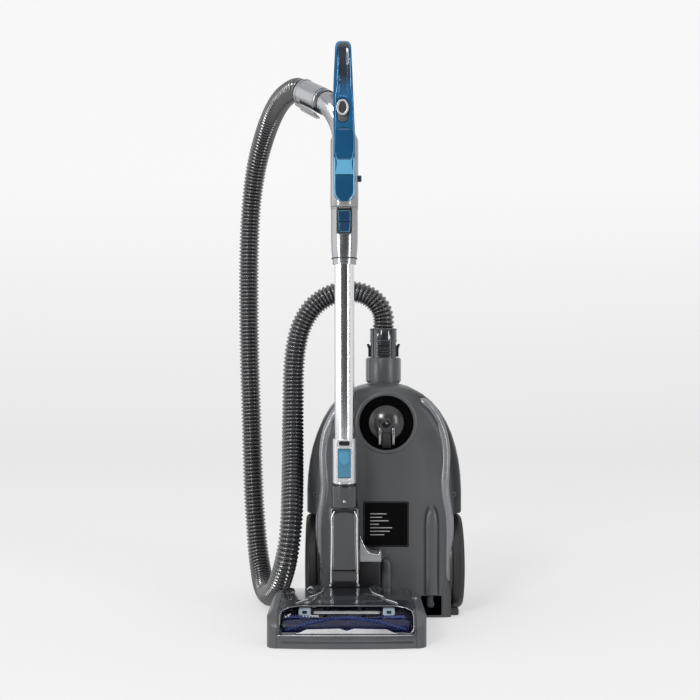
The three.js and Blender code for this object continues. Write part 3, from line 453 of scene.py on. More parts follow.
FLANK_SHADED_SHELL = shell_with_painted_flank_shade()
SPECIAL = {"castor_dome": DOME_GREY, "front_bumper": BUMPER_GREY, "head_cover": GLOSS_DARK,
           "neck_arm": GLOSS_DARK, "neck_knuckle": GLOSS_BLACK, "neck_socket": GLOSS_DARK,
           "lower_button": BUTTON_BLUE, "inlet_cuff": GLOSS_DARK,
           "hose_socket": BUMPER_GREY, "base_shell": FLANK_SHADED_SHELL}
SOFT_EDGES = {"grip_shell": 0.8, "head_cover": 0.8, "carry_handle": 1.0, "neck_arm": 0.8}
finish_cad_parts()

# ---------------------------------------------------------------- backdrop and light


WALL_GLOW = 0.87
FLOOR_GLOW = 0.5
WALL_ALBEDO = 0.08
FLOOR_ALBEDO = 0.3


def make_backdrop():
    """A pale, faintly lit floor that curves up far behind the object, so that no horizon shows."""
    bm = bmesh.new()
    outline = [(-4000, 0), (3000, 0)]
    for i in range(1, 17):
        angle = math.radians(90 * i / 16)
        outline.append((3000 + 1500 * math.sin(angle), 1500 - 1500 * math.cos(angle)))
    outline.append((4500, 6000))
    rows = [[bm.verts.new((x, y, z)) for y, z in outline] for x in (-6000, 6000)]
    for i in range(len(outline) - 1):
        bm.faces.new((rows[0][i], rows[1][i], rows[1][i + 1], rows[0][i + 1]))
    paint = bpy.data.materials.new("backdrop_paint")
    paint.use_nodes = True
    shader = paint.node_tree.nodes["Principled BSDF"]
    shader.inputs["Roughness"].default_value = 1
    shader.inputs["Specular IOR Level"].default_value = 0
    shader.inputs["Emission Color"].default_value = (1, 1, 1, 1)
    geometry = paint.node_tree.nodes.new("ShaderNodeNewGeometry")
    split = paint.node_tree.nodes.new("ShaderNodeSeparateXYZ")
    glow = paint.node_tree.nodes.new("ShaderNodeMapRange")
    glow.inputs["To Min"].default_value = WALL_GLOW
    glow.inputs["To Max"].default_value = FLOOR_GLOW
    paint.node_tree.links.new(geometry.outputs["Normal"], split.inputs["Vector"])
    paint.node_tree.links.new(split.outputs["Z"], glow.inputs["Value"])
    paint.node_tree.links.new(glow.outputs["Result"], shader.inputs["Emission Strength"])
    grey = paint.node_tree.nodes.new("ShaderNodeMapRange")
    grey.inputs["To Min"].default_value = WALL_ALBEDO
    grey.inputs["To Max"].default_value = FLOOR_ALBEDO
    paint.node_tree.links.new(split.outputs["Z"], grey.inputs["Value"])
    paint.node_tree.links.new(grey.outputs["Result"], shader.inputs["Base Color"])
    link("backdrop", bm, paint, None)


def area_light(name, location, target, size, power, colour=(1, 1, 1)):
    """A rectangular lamp that faces a target."""
    data = bpy.data.lights.new(name, "AREA")
    data.shape = "RECTANGLE"
    data.size, data.size_y = size
    data.energy = power
    data.color = colour
    lamp = bpy.data.objects.new(name, data)
    lamp.location = location
    lamp.rotation_euler = (Vector(target) - Vector(location)).to_track_quat("-Z", "Y").to_euler()
    bpy.context.scene.collection.objects.link(lamp)


def make_world():
    """Soft white walls at the sides, behind and above, and a dim room in front."""
    world = bpy.data.worlds.new("studio")
    world.use_nodes = True
    nodes, links = world.node_tree.nodes, world.node_tree.links
    background = nodes["Background"]
    background.inputs["Color"].default_value = (1, 1, 1, 1)
    direction = nodes.new("ShaderNodeTexCoord")
    split = nodes.new("ShaderNodeSeparateXYZ")
    links.new(direction.outputs["Generated"], split.inputs["Vector"])

    def math_node(kind, a, b):
        node = nodes.new("ShaderNodeMath")
        node.operation = kind
        for slot, value in zip(node.inputs, (a, b)):
            if isinstance(value, (int, float)):
                slot.default_value = value
            else:
                links.new(value, slot)
        return node.outputs["Value"]

    def ramp(value, low, high, at_low, at_high):
        node = nodes.new("ShaderNodeMapRange")
        node.interpolation_type = "SMOOTHSTEP"
        node.inputs["From Min"].default_value = low
        node.inputs["From Max"].default_value = high
        node.inputs["To Min"].default_value = at_low
        node.inputs["To Max"].default_value = at_high
        links.new(value, node.inputs["Value"])
        return node.outputs["Result"]

    left = ramp(split.outputs["X"], -0.92, -0.55, SIDE_LEFT, 0)
    right = ramp(split.outputs["X"], 0.84, 0.99, 0, SIDE_RIGHT)
    back = ramp(split.outputs["Y"], 0.0, 0.5, 0, BACK_WALL)
    top = ramp(split.outputs["Z"], 0.35, 0.8, 0, CEILING)
    walls = math_node("MAXIMUM", math_node("MAXIMUM", left, right), math_node("MAXIMUM", back, top))
    links.new(math_node("ADD", walls, FRONT_ROOM), background.inputs["Strength"])
    bpy.context.scene.world = world


SIDE_LEFT = 1.5
SIDE_RIGHT = 0.9
BACK_WALL = 0.8
CEILING = 0.9
FRONT_ROOM = 0.08

make_backdrop()
make_world()
area_light("key", (-2.6, -5.2, 3.6), (0, 0, 0.5), (1.6, 1.6), 220)
area_light("fill", (3.8, -3.6, 1.4), (0, 0, 0.5), (0.8, 3.4), 95)
area_light("strip", (-3.6, -3.0, 0.9), (0, 0, 0.5), (0.5, 3), 70)
bpy.context.scene.view_settings.view_transform = "Standard"

# ---------------------------------------------------------------- helpers for details


def surface_of(*names):
    """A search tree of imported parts, in millimetres, to lay details on their surface."""
    verts, faces = [], []
    for name in names:
        mesh = NODES[name].data
        base = len(verts)
        verts += [v.co / MM for v in mesh.vertices]
        faces += [[base + i for i in f.vertices] for f in mesh.polygons]
    return BVHTree.FromPolygons(verts, faces)


def front_y(tree, x, z, missing):
    """Where a line going along +Y first meets the surface."""
    hit = tree.ray_cast(Vector((x + 0.03, -600, z + 0.03)), Vector((0, 1, 0)))[0]
    return missing if hit is None else hit.y


def draped(name, rows, tree, lift, depth, slot, body, columns=12, missing=-190, bevel=0.0, material=None,
           flat=False):
    """A thin panel that follows the surface behind it. Rows are (z, x0, x1) from bottom to top."""
    bm = bmesh.new()
    front, back = [], []
    for z, x0, x1 in rows:
        line = [(x0 + (x1 - x0) * i / columns) for i in range(columns + 1)]
        depths = [front_y(tree, x, z, missing) for x in line]
        if flat:
            depths = [min(depths)] * len(depths)
        front.append([bm.verts.new((x, y - lift, z)) for x, y in zip(line, depths)])
        back.append([bm.verts.new((x, y - lift + depth, z)) for x, y in zip(line, depths)])
    for grid, flip in ((front, False), (back, True)):
        for low, high in zip(grid, grid[1:]):
            for i in range(columns):
                face = (low[i], low[i + 1], high[i + 1], high[i])
                bm.faces.new(face[::-1] if flip else face)
    for i in range(columns):
        bm.faces.new((front[0][i], back[0][i], back[0][i + 1], front[0][i + 1]))
        bm.faces.new((front[-1][i], front[-1][i + 1], back[-1][i + 1], back[-1][i]))
    for j in range(len(rows) - 1):
        bm.faces.new((front[j][0], front[j + 1][0], back[j + 1][0], back[j][0]))
        bm.faces.new((front[j][-1], back[j][-1], back[j + 1][-1], front[j + 1][-1]))
    return link(name, bm, material or M[slot], body, smooth=50, bevel=bevel)


def pill_rows(z0, z1, half, centre, round_low, round_high, count=26):
    """Rows of a panel with straight sides and round ends; half may be a function of height."""
    rows = []
    for i in range(count + 1):
        z = z0 + (z1 - z0) * (1 - math.cos(math.pi * i / count)) / 2
        w = half(z) if callable(half) else half
        for limit, inside in ((round_low, z - z0), (round_high, z1 - z)):
            if limit and inside < limit:
                w *= math.sqrt(max(0.0008, 1 - (1 - inside / limit) ** 2))
        rows.append((z, centre - w, centre + w))
    return rows


def bead(name, points, radius, slot, body, sides=12, taper=True, spacing=2.0):
    """A round bead along a smooth line."""
    line, _ = smooth_line(points, spacing)
    last = len(line) - 1
    radii = []
    for i in range(len(line)):
        near = min(i, last - i) / 3
        radii.append(radius * (min(1, 0.25 + 0.75 * near) if taper else 1))
    return link(name, along(line, radii, sides=sides), M[slot], body, smooth=60)


def panel(name, outline, axis, low, high, slot, body, bevel=0.4, material=None):
    """A flat plate with the given outline and softened edges."""
    return link(name, prism(outline, axis, low, high), material or M[slot], body, bevel=bevel)


def screw(name, x, z, y, radius, body, slot="steel"):
    """A pan-head screw facing the front, whose cross recess is a thin black cross of painted shade laid on
    the head.
    """
    bm = turned([(0.1, y - 0.9), (radius * 0.75, y - 0.8), (radius, y - 0.2), (radius, y + 1.5)], "y", x, z,
                24)
    link(name, bm, M[slot], body)
    # painted shade: black bars laid on the head stand in for the shade inside the cross recess
    for i, (w, h) in enumerate(((radius * 0.6, radius * 0.13), (radius * 0.13, radius * 0.6))):
        bar = rounded(x - w, x + w, z - h, z + h, radius * 0.1, 2)
        panel(f"{name}_recess_{i}", bar, "y", y - 1.0, y - 0.5, "black", body, bevel=0)


# ---------------------------------------------------------------- handle details

WAND_X = -74
GRIP_TREE = surface_of("grip_shell")


def grip_half(z):
    """Half the width of the grip at a height."""
    if z < 858:
        return 19.4
    return 19.4 - (z - 858) * 0.026


def reflection_fade_material(name, low_colour, high_colour, z_low, z_high, roughness=0.2):
    """A glossy material whose colour fades from one colour to another with height, used as a painted
    reflection.
    """
    made = material(name, low_colour, roughness, metallic=0.35, coat=0.7, mottle=0.1, flake=0.1)
    nodes, links = made.node_tree.nodes, made.node_tree.links
    shader = nodes["Principled BSDF"]
    tint = shader.inputs["Base Color"].links[0].from_socket
    coords = nodes.new("ShaderNodeTexCoord")
    split = nodes.new("ShaderNodeSeparateXYZ")
    height = nodes.new("ShaderNodeMapRange")
    height.interpolation_type = "SMOOTHSTEP"
    height.inputs["From Min"].default_value = z_low * MM
    height.inputs["From Max"].default_value = z_high * MM
    mix = nodes.new("ShaderNodeMix")
    mix.data_type = "RGBA"
    mix.inputs["B"].default_value = (*high_colour, 1)
    links.new(coords.outputs["Object"], split.inputs["Vector"])
    links.new(split.outputs["Z"], height.inputs["Value"])
    links.new(height.outputs["Result"], mix.inputs["Factor"])
    links.new(tint, mix.inputs["A"])
    links.new(mix.outputs["Result"], shader.inputs["Base Color"])
    return made


def handle_details():
    """The inlay, zones and slide switch of the handle, and its side knob."""
    upper = pill_rows(823, 884, lambda z: 14.4, WAND_X - 0.2, 14, 10)
    draped("fascia_upper", upper, GRIP_TREE, 1.3, 3, "deep_blue", "handle", missing=-193, flat=True)
    lower = pill_rows(755, 801, lambda z: 15.6, WAND_X, 15, 3)
    low_panel = draped("fascia_lower", lower, GRIP_TREE, 0.8, 3, "deep_blue", "handle", missing=-193,
                       flat=True)
    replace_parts(low_panel, "fascia")
    lens = [(z, WAND_X - w, WAND_X + w)
            for z, w in ((802, 15.8), (808, 15.2), (816, 13.4), (824, 13.2), (832, 15), (840, 15.8))]
    draped("fascia_lens", lens, GRIP_TREE, 0.5, 3, "light_blue", "handle", missing=-193, flat=True,
           material=PALE_BLUE)
    core = pill_rows(804, 821, lambda z: 7.2 - (z - 804) * 0.1, WAND_X, 4, 5, 12)
    draped("fascia_lens_core", core, GRIP_TREE, 0.9, 3, "light_blue", "handle", missing=-193, flat=True)

    # painted reflection: the grip inlay fades from blue to a dark slate towards its top, standing in for a
    # dark reflection in the glossy grip
    slate = reflection_fade_material("grip_painted_reflection_fade", (0.016, 0.13, 0.29), (0.03, 0.036, 0.048), 938, 985, 0.24)
    strip = pill_rows(936, 1038, lambda z: 12.2 - (z - 936) * 0.012, WAND_X - 1.6, 12, 12)
    grip = draped("grip_inlay", strip, GRIP_TREE, 0.35, 2.4, "dark_shell", "handle", missing=-190,
                  material=slate)
    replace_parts(grip, "grip_strip")

    for side, name in ((-1, "left"), (1, "right")):
        points = []
        for z in range(836, 1024, 12):
            x = WAND_X - 0.6 * (z > 930) + side * (grip_half(z) - 2.6 - 2.2 * (z > 950))
            points.append((x, front_y(GRIP_TREE, x, z, -190) + 0.3, z))
        bead(f"grip_rim_{name}", points, 0.9, "blue", "handle")
    rim = []
    for side in (-1, 1):
        arm = []
        for i in range(9):
            z = 832 - i * 7.2
            x = WAND_X + side * (grip_half(z) - 2.3)
            arm.append((x, front_y(GRIP_TREE, x, z, -192) - 0.1, z))
        for i in range(1, 5):
            angle = math.radians(90 * i / 5)
            x = WAND_X + side * (grip_half(770) - 2.3) * math.cos(angle)
            z = 774.4 - 21.2 * math.sin(angle)
            arm.append((x, front_y(GRIP_TREE, x, z, -192) - 0.1, z))
        rim += arm if side < 0 else arm[::-1]
    glow_rim = bead("window_rim_glow", rim, 1.5, "light_blue", "handle", spacing=1.5)
    glow_rim.data.materials[0] = PALE_BLUE

    ring_x, ring_z = WAND_X - 3.2, 919
    ring = frame_prism(oval(ring_x, ring_z, 10.6, 14.2), oval(ring_x, ring_z, 7.2, 10.6), "y", -202.8, -199.5)
    ring_piece = link("slider_ring", ring, M["bright_silver"], "slide_switch", bevel=1.0)
    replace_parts(ring_piece, "slider")
    button = oval(ring_x, ring_z, 7.1, 10.5)
    panel("slider_button", button, "y", -201.0, -199.0, "silver", "slide_switch", 0.8, material=BROWN_GREY)
    for i in range(3):
        bar = rounded(ring_x - 3.5, ring_x + 3.5, ring_z - 4.6 + i * 4, ring_z - 3.4 + i * 4, 0.5, 2)
        panel(f"slider_rib_{i}", bar, "y", -201.5, -200.6, "silver", "slide_switch", 0.2, material=BROWN_GREY)
    well = pill_rows(892, 938, lambda z: 10.6 - (z < 905) * (905 - z) * 0.18, ring_x, 7, 10, 20)
    draped("slider_well", well, GRIP_TREE, 0.35, 2.4, "deep_blue", "handle", missing=-196, material=NAVY,
           flat=True)
    tongue = pill_rows(894, 912, lambda z: 8.4, ring_x, 8, 0, 12)
    draped("slider_track", tongue, GRIP_TREE, 1.0, 2, "silver", "handle", missing=-196, flat=True)
    for i in range(7):
        x = ring_x - 9 + i * 3
        z = 937 + 3.6 * math.cos((i - 3) * 0.5)
        dot = turned([(0.1, -1), (0.8, -0.8), (0.8, 1)], "y", x, z, 10)
        dot.transform(Matrix.Translation((0, front_y(GRIP_TREE, x, z, -196), 0)))
        link(f"slider_dot_{i}", dot, M["light_blue"], "handle")

    cap = panel("side_knob_cap", rounded(-175.8, -168.2, 791.5, 803.2, 2.4), "x", -51, -43.6, "deep_blue",
                "knob", 1.2, material=NAVY)
    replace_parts(cap, "side_knob")
    for i in range(3):
        bar = rounded(-174.6, -169.4, 793.8 + i * 3, 795.2 + i * 3, 0.6, 2)
        panel(f"side_knob_ridge_{i}", bar, "x", -43.9, -43.1, "deep_blue", "knob", 0.2, material=NAVY)


CUFF_START = Vector((-148.5, -109.8, 966.6))
CUFF_AXIS = Vector((10.5, -10.8, -7.4)).normalized()
CUFF_UNDER = Vector((-0.576, 0, -0.818))
CUFF_SIDE = CUFF_AXIS.cross(CUFF_UNDER).normalized()


def on_cuff(along_axis, side, under):
    """A point beside the axis of the hose cuff."""
    return CUFF_START + CUFF_AXIS * along_axis + CUFF_SIDE * side + CUFF_UNDER * under


def cuff_ring(name, profile, body, slot, material=None):
    """A ring turned about the axis of the hose cuff."""
    bm = turned(profile, "z", 0, 0, 56, closed=True)
    turn = CUFF_AXIS.to_track_quat("Z", "Y").to_matrix().to_4x4()
    bm.transform(Matrix.Translation(CUFF_START) @ turn)
    return link(name, bm, material or M[slot], body, smooth=35)


def cuff_details():
    """The seams of the hose cuff and the sprung rail along its underside."""
    cuff_ring("cuff_seam", [(20.6, 60.4), (23.1, 60.6), (23.4, 61.4), (23.0, 66.4), (20.6, 66.8)], "handle",
              "black", GLOSS_BLACK)
    cuff_ring("cuff_lip", [(22.7, 53.6), (23.4, 54.4), (23.4, 57.2), (22.7, 58.2)], "cuff", "silver")
    cuff_ring("cuff_mouth", [(21.4, -1.6), (23.9, -1.2), (24.2, 0.2), (24.1, 3.0), (23.0, 3.6)], "cuff",
              "silver")
    sections = [(8, 26.8, 28.2), (12, 26.6, 30.6), (52, 26.4, 31.4), (60, 26.8, 31.6), (66, 27, 29.2)]
    bm = bmesh.new()
    rings = []
    for place_on_axis, low, high in sections:
        half = 11.4 if place_on_axis < 60 else 10
        ring = [(-half, low), (-half, high), (-half + 3.2, high + 1.2), (-half + 4.4, high - 1.4),
                (half - 4.4, high - 1.4), (half - 3.2, high + 1.2), (half, high), (half, low)]
        rings.append([on_cuff(place_on_axis, side, under) for side, under in ring])
    rail = link("cuff_rail", skin(bm, rings), M["silver"], "cuff_lever", smooth=30, bevel=0.7)
    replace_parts(rail, "cuff_latch")
    for i in range(5):
        bm = bmesh.new()
        place_on_axis = 20 + i * 5.4
        rings = [[on_cuff(place_on_axis + a, side, 29.4 + i * 0.2 + lift)
                  for a, lift in ((-0.9, -2), (-0.9, 0.6), (0.9, 0.6), (0.9, -2))] for side in (-6, 6)]
        link(f"cuff_rail_ridge_{i}", skin(bm, rings), M["silver"], "cuff_lever", bevel=0.3)


def collar_details():
    """The black surround, the thumb ridge and the seam ring of the wand's upper collar."""
    def keystone(low, high, narrow, wide, radius):
        outline = rounded(WAND_X - wide, WAND_X + wide, low, high, radius)
        return [(WAND_X + (x - WAND_X) * (narrow + (wide - narrow) * (z - low) / (high - low)) / wide, z)
                for x, z in outline]
    link("telescope_surround", frame_prism(keystone(698, 740, 11.4, 13, 4.5),
                                           keystone(699.8, 738.2, 9.8, 11.4, 3.6),
                                           "y", -198.2, -194.6), GLOSS_BLACK, "wand", bevel=0.5)
    link("telescope_edge", frame_prism(keystone(699.9, 738.1, 9.7, 11.3, 3.6),
                                       keystone(701, 737, 8.8, 10.4, 3),
                                       "y", -197.8, -194.6), M["light_blue"], "wand", bevel=0.3)
    upper_pad = panel("telescope_pad_upper", keystone(718.6, 736.4, 9.5, 10.1, 2.6), "y", -198.0, -191.6,
                      "blue", "wand_button", 1.1, material=NAVY)
    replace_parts(upper_pad, "telescope_button")
    panel("telescope_pad_lower", keystone(701.6, 717.6, 8.6, 9.3, 2.6), "y", -197.6, -191.6, "blue",
          "wand_button", 1.1, material=NAVY)
    for i in range(3):
        z = 705.5 + i * 3.4
        bar = rounded(WAND_X - 5.4, WAND_X + 5.4, z, z + 1.2, 0.5, 3)
        panel(f"telescope_ridge_{i}", bar, "y", -198.2, -197.0, "blue", "wand_button", 0.3, material=NAVY)
    seam = turned([(22.9, 654.3), (23.3, 654.8), (23.3, 655.9), (22.9, 656.4)], "z", WAND_X, -170, 48,
                  closed=True)
    link("collar_seam", seam, M["black"], "wand")
    lip = turned([(24.4, 742.2), (24.7, 742.8), (24.7, 744.8), (24.2, 745.3), (23.5, 745.3), (23.5, 742.2)],
                 "z", WAND_X, -170, 48, closed=True)
    link("collar_lip", lip, M["silver"], "wand")


def joiner_details():
    """The lock window and the thumb pad of the wand's lower collar, and the screw below it."""
    x = WAND_X
    outer = rounded(x - 13.2, x + 13.2, 262.5, 321.5, 5)
    inner = rounded(x - 11.6, x + 11.6, 264.5, 319.5, 4)
    link("release_surround", frame_prism(outer, inner, "y", -198.8, -196.4), M["bright_silver"], "wand",
         bevel=0.5)
    pad = pill_rows(290, 314, lambda z: 8.6, x, 9, 3, 14)
    bm = bmesh.new()
    rings = []
    for depth, grow in ((-199.2, 0), (-199.9, -1.2)):
        ring = [(px, z) for z, _, px in pad] + [(px, z) for z, px, _ in reversed(pad)]
        rings.append([Vector((x + (px - x) * (1 + grow / 9), depth, z)) for px, z in ring])
    link("release_pad", skin(bm, rings), M["light_blue"], "head_button", smooth=30)
    for i in range(4):
        z = 272 + i * 3.2
        bar = rounded(x - 6.5, x + 6.5, z, z + 1.2, 0.5, 2)
        panel(f"release_rib_{i}", bar, "y", -199.7, -198.6, "light_blue", "head_button", 0.25)
    window = rounded(x - 9.5, x + 9.5, 323.4, 331.4, 3.2)
    panel("lock_window", window, "y", -198.5, -196.8, "black", "wand", 0.4)
    for i in range(4):
        px = x - 6.4 + i * 4.3
        panel(f"lock_tooth_{i}", rounded(px - 1, px + 1, 325, 330, 0.6, 2), "y", -199.0, -198.2, "clear",
              "wand", 0.2)
    screw("socket_screw", x, 224, -193.6, 2.6, "wand")
    seam = turned([(21.0, 250.6), (21.6, 251.1), (21.6, 253.4), (21.0, 253.9)], "z", x, -170, 48, closed=True)
    link("joiner_seam", seam, M["black"], "wand")


def neck_details():
    """The glossy inset face, the shoulders and the hinge pins of the neck above the floor head."""
    x = WAND_X
    def half(z):
        return 20.2 + max(0, 150 - z) * 0.02
    face = pill_rows(104, 205, half, x, 0, 7, 20)
    tree = surface_of("neck_arm", "neck_knuckle")
    draped("neck_face", face, tree, 0.8, 1.4, "dark_shell", "wand", missing=-193, material=GLOSS_DARK)
    lower = [(z, x - 20.8, x + 20.8) for z in (73.5, 80, 90, 99.5)]
    draped("neck_skirt", lower, tree, 0.8, 1.4, "black", "wand", missing=-192, material=GLOSS_BLACK)
    for side, name in ((-1, "left"), (1, "right")):
        points = []
        for z in range(76, 206, 10):
            px = x + side * (half(z) + 1.9)
            points.append((px, front_y(tree, px, z, -190) + 0.2, z))
        points.append((x + side * (half(205) - 3), -192.6, 208))
        # painted highlight: light silver beads along the neck's chamfered edges
        bead(f"neck_edge_highlight_{name}", points, 1.6, "bright_silver", "wand")
        inner_edge = [(x + side * (half(z) - 1.2), front_y(tree, x + side * (half(z) - 1.2), z, -190) - 1.0,
                       z)
                      for z in range(106, 204, 12)]
        bead(f"neck_line_{name}", inner_edge, 0.6, "silver", "wand")
        pin = turned([(0.1, -1.8), (1.6, -1.6), (2.4, -0.6), (2.4, 4)], "y", x + side * 24.6, 75.4, 20)
        pin.transform(Matrix.Translation((0, front_y(tree, x + side * 24.6, 75.4, -190), 0)))
        link(f"neck_pin_{name}", pin, M["bright_silver"], "wand")


def hook_details():
    """The rounded shell of the parking hook, with a light silver bead along its upper edge as a painted
    highlight.
    """
    x0, x1 = WAND_X + 27.8, WAND_X + 66
    outline = [(x0, 158), (x0 + 2.2, 151)]
    for i in range(9):
        f = i / 8
        outline.append((x0 + 2.2 + 17 * f, 151 - 25 * math.sin(f * math.pi / 2)))
    outline += [(x0 + 27, 125), (x0 + 32, 124), (x1 - 4, 126.2), (x1 - 1.5, 131), (x1, 135)]
    outline += [(x1, 112.6), (x0, 112.6)]
    panel("park_hook_shell", outline, "y", -161.5, -157.0, "silver", "wand", 1.2)
    # painted highlight: a light silver bead along the hook's upper edge
    edge = [(px, -161.2, pz) for px, pz in outline[:15]]
    bead("park_hook_edge_highlight", edge, 1.3, "bright_silver", "wand")


handle_details()
cuff_details()
collar_details()
joiner_details()
neck_details()
hook_details()

# ---------------------------------------------------------------- floor head details

HEAD_X = -69.5
HEAD_TREE = surface_of("head_cover", "head_window", "end_cap_left", "end_cap_right")


def head_front(t):
    """A point (y, z) and its outward normal on the head's curved front, from its top to the bumper."""
    a, b, c = Vector((-262, 66)), Vector((-318, 64)), Vector((-329, 24))
    point = a * (1 - t) ** 2 + b * 2 * t * (1 - t) + c * t * t
    slope = (b - a) * 2 * (1 - t) + (c - b) * 2 * t
    normal = Vector((slope.y, -slope.x)).normalized()
    return point, (normal if normal.x < 0 or normal.y > 0 else -normal)


def on_front(x, t, lift):
    """A point on or above the head's curved front."""
    point, normal = head_front(t)
    return Vector((HEAD_X + x, point.x + normal.x * lift, point.y + normal.y * lift))


def front_band(name, outer, inner, lift, slot, material=None):
    """A frame on the curved front between two outlines of (x, t) points."""
    bm = bmesh.new()
    rings = [
        [on_front(x, t, -0.4) for x, t in outer],
        [on_front(x, t, lift) for x, t in outer],
        [on_front(x, t, lift) for x, t in inner],
        [on_front(x, t, -0.8) for x, t in inner],
    ]
    return link(name, skin(bm, rings, closed=True), material or M[slot], "head", smooth=40, bevel=0.5)


def fine(outline):
    """Adds points along an outline's long sides, so that it can bend with the surface."""
    out = []
    for (x0, t0), (x1, t1) in zip(outline, outline[1:] + outline[:1]):
        count = max(1, int(max(abs(x1 - x0) / 12, abs(t1 - t0) / 0.06)))
        out += [(x0 + (x1 - x0) * i / count, t0 + (t1 - t0) * i / count) for i in range(count)]
    return out


def head_details():
    """The floor head's window frame, raised middle panel and trim."""
    inner = [(-106, 0.97), (-110.5, 0.88), (-111, 0.6), (-108, 0.46), (-98, 0.36), (-80, 0.3), (80, 0.3),
             (98, 0.36), (108, 0.46), (111, 0.6), (110.5, 0.88), (106, 0.97)]
    outer = [(-112, 1.0), (-114.6, 0.9), (-114.6, 0.55), (-113, 0.2), (-104, 0.05), (-84, 0.02), (84, 0.02),
             (104, 0.05), (113, 0.2), (114.6, 0.55), (114.6, 0.9), (112, 1.0)]
    count = []
    for a0, a1 in zip(inner, inner[1:] + inner[:1]):
        count.append(max(1, int(max(abs(a1[0] - a0[0]) / 12, abs(a1[1] - a0[1]) / 0.06))))

    def divide(outline):
        out = []
        for n, (x0, t0), (x1, t1) in zip(count, outline, outline[1:] + outline[:1]):
            out += [(x0 + (x1 - x0) * i / n, t0 + (t1 - t0) * i / n) for i in range(n)]
        return out

    front_band("window_frame", divide(outer), divide(inner), 1.2, "shell", GLOSS_DARK)
    edge = [on_front(x, t, 1.3) for x, t in divide(inner)]
    bead("window_rim", edge[2:] + edge[:1], 0.7, "silver", "head", taper=False)

    # the raised middle panel that runs from the neck down to the window
    bm = bmesh.new()
    rows = []
    for i in range(15):
        f = i / 14
        y = -196 - 88 * f
        half = 39 + 8 * f + 44 * max(0, f - 0.35) ** 1.6 * 1.7
        z = 71.2 - 0.0009 * (y + 214) ** 2 if y > -262 else head_z(y)
        rows.append((y, half, z))
    top = [[bm.verts.new((WAND_X + (HEAD_X - WAND_X) + half * c / 8, y, z + 1.6 - 1.2 * (abs(c) == 8)))
            for c in range(-8, 9)] for y, half, z in rows]
    low = [[bm.verts.new((v.co.x, v.co.y, v.co.z - 2.2)) for v in line] for line in top]
    for grid in (top, low):
        for a, b in zip(grid, grid[1:]):
            for i in range(16):
                bm.faces.new((a[i], a[i + 1], b[i + 1], b[i]))
    for i in range(16):
        bm.faces.new((top[0][i], top[0][i + 1], low[0][i + 1], low[0][i]))
        bm.faces.new((top[-1][i], top[-1][i + 1], low[-1][i + 1], low[-1][i]))
    for j in range(14):
        bm.faces.new((top[j][0], top[j + 1][0], low[j + 1][0], low[j][0]))
        bm.faces.new((top[j][-1], top[j + 1][-1], low[j + 1][-1], low[j][-1]))
    link("head_middle_panel", bm, GLOSS_DARK, "head", smooth=30)
    for side, name in ((-1, "left"), (1, "right")):
        points = [(HEAD_X + side * (half + 3.4), y, z - 1.8) for y, half, z in rows]
        arm = bead(f"head_arm_{name}", points, 4.6, "shell", "head")
        arm.data.materials[0] = GLOSS_DARK
        # painted highlight: a thin light silver bead along the crest of each crease arm
        crest_highlight = [(HEAD_X + side * (half + 1.2), y, z + 2.2) for y, half, z in rows]
        bead(f"head_crease_highlight_{name}", crest_highlight, 0.9, "bright_silver", "head")
        bm = bmesh.new()
        bmesh.ops.create_uvsphere(bm, u_segments=32, v_segments=18, radius=1)
        bm.transform(Matrix.Translation((WAND_X + side * 53, -184, 56)) @ Matrix.Diagonal((17, 38, 18.5, 1)))
        link(f"hinge_housing_{name}", bm, GLOSS_DARK, "head", smooth=60)
        clip = rounded(HEAD_X + side * 71 - 10, HEAD_X + side * 71 + 10, 44.5, 58.5, 2.5)
        panel(f"window_clip_{name}", clip, "y", -284, -279, "white", "head", 0.8, material=PALE_CLIP)
        notch = rounded(HEAD_X + side * 71 - 4, HEAD_X + side * 71 + 4, 48, 53, 1.2)
        panel(f"window_clip_notch_{name}", notch, "y", -284.8, -283.4, "black", "head", 0.3)

    trim = [(-84, 0.985), (-78, 0.965), (-66, 0.9), (-12, 0.885), (0, 0.93), (12, 0.885), (66, 0.9),
            (78, 0.965), (84, 0.985)]
    bm = bmesh.new()
    bent = fine(trim)
    rings = [[on_front(x, t, lift) for x, t in bent] for lift in (1.0, 2.4)]
    link("window_trim", skin(bm, rings), M["bright_silver"], "head", bevel=0.4)

    line = [(HEAD_X + x, front_y(HEAD_TREE, HEAD_X + x, 23, -325), 22.6) for x in range(-112, 113, 16)]
    bead("bumper_line", line, 0.9, "bright_silver", "head")
    groove = [(HEAD_X + x, -331.2 + 0.00025 * x * x, 11) for x in range(-112, 113, 16)]
    bead("bumper_bead", groove, 1.2, "dark_shell", "head")
    badge = turned([(0.1, 61.6), (4.4, 61.4), (5.6, 60.4), (5.6, 55)], "z", HEAD_X + 117, -216, 28)
    link("head_release", badge, M["silver"], "head")


def head_z(y):
    """The height of the curved front at a depth."""
    best = min((head_front(i / 60)[0] for i in range(61)), key=lambda p: abs(p.x - y))
    return best.y


def roller_details():
    """The brush roller: a dark core with two chevron strips of bristle on each side."""
    y, z = -296, 27
    core = turned([(4, -112), (4, -108), (16.8, -107), (17.2, -103), (17.2, 100), (16.8, 104), (8, 105),
                   (8, 111), (4, 112)], "x", y, z, 40)
    core.transform(Matrix.Translation((HEAD_X, 0, 0)))
    core_piece = link("roller_core", core, ROLLER_BLUE, "roller")
    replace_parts(core_piece, "brush_roller")
    for k in range(4):
        bm = bmesh.new()
        rings = []
        for i in range(161):
            x = -101 + 200 * i / 160
            centre = math.radians(90 * k + 0.85 * abs(x))
            ring = []
            tip = 21.4 if i % 4 < 2 else 18.2
            for radius, offset in ((16.5, -0.12), (tip, -0.08), (tip, 0.08), (16.5, 0.12)):
                angle = centre + offset
                ring.append(Vector((HEAD_X + x, y + radius * math.cos(angle), z + radius * math.sin(angle))))
            rings.append(ring)
        link(f"roller_strip_{k}", skin(bm, rings), M["bristle"], "roller", smooth=30)


head_details()
roller_details()

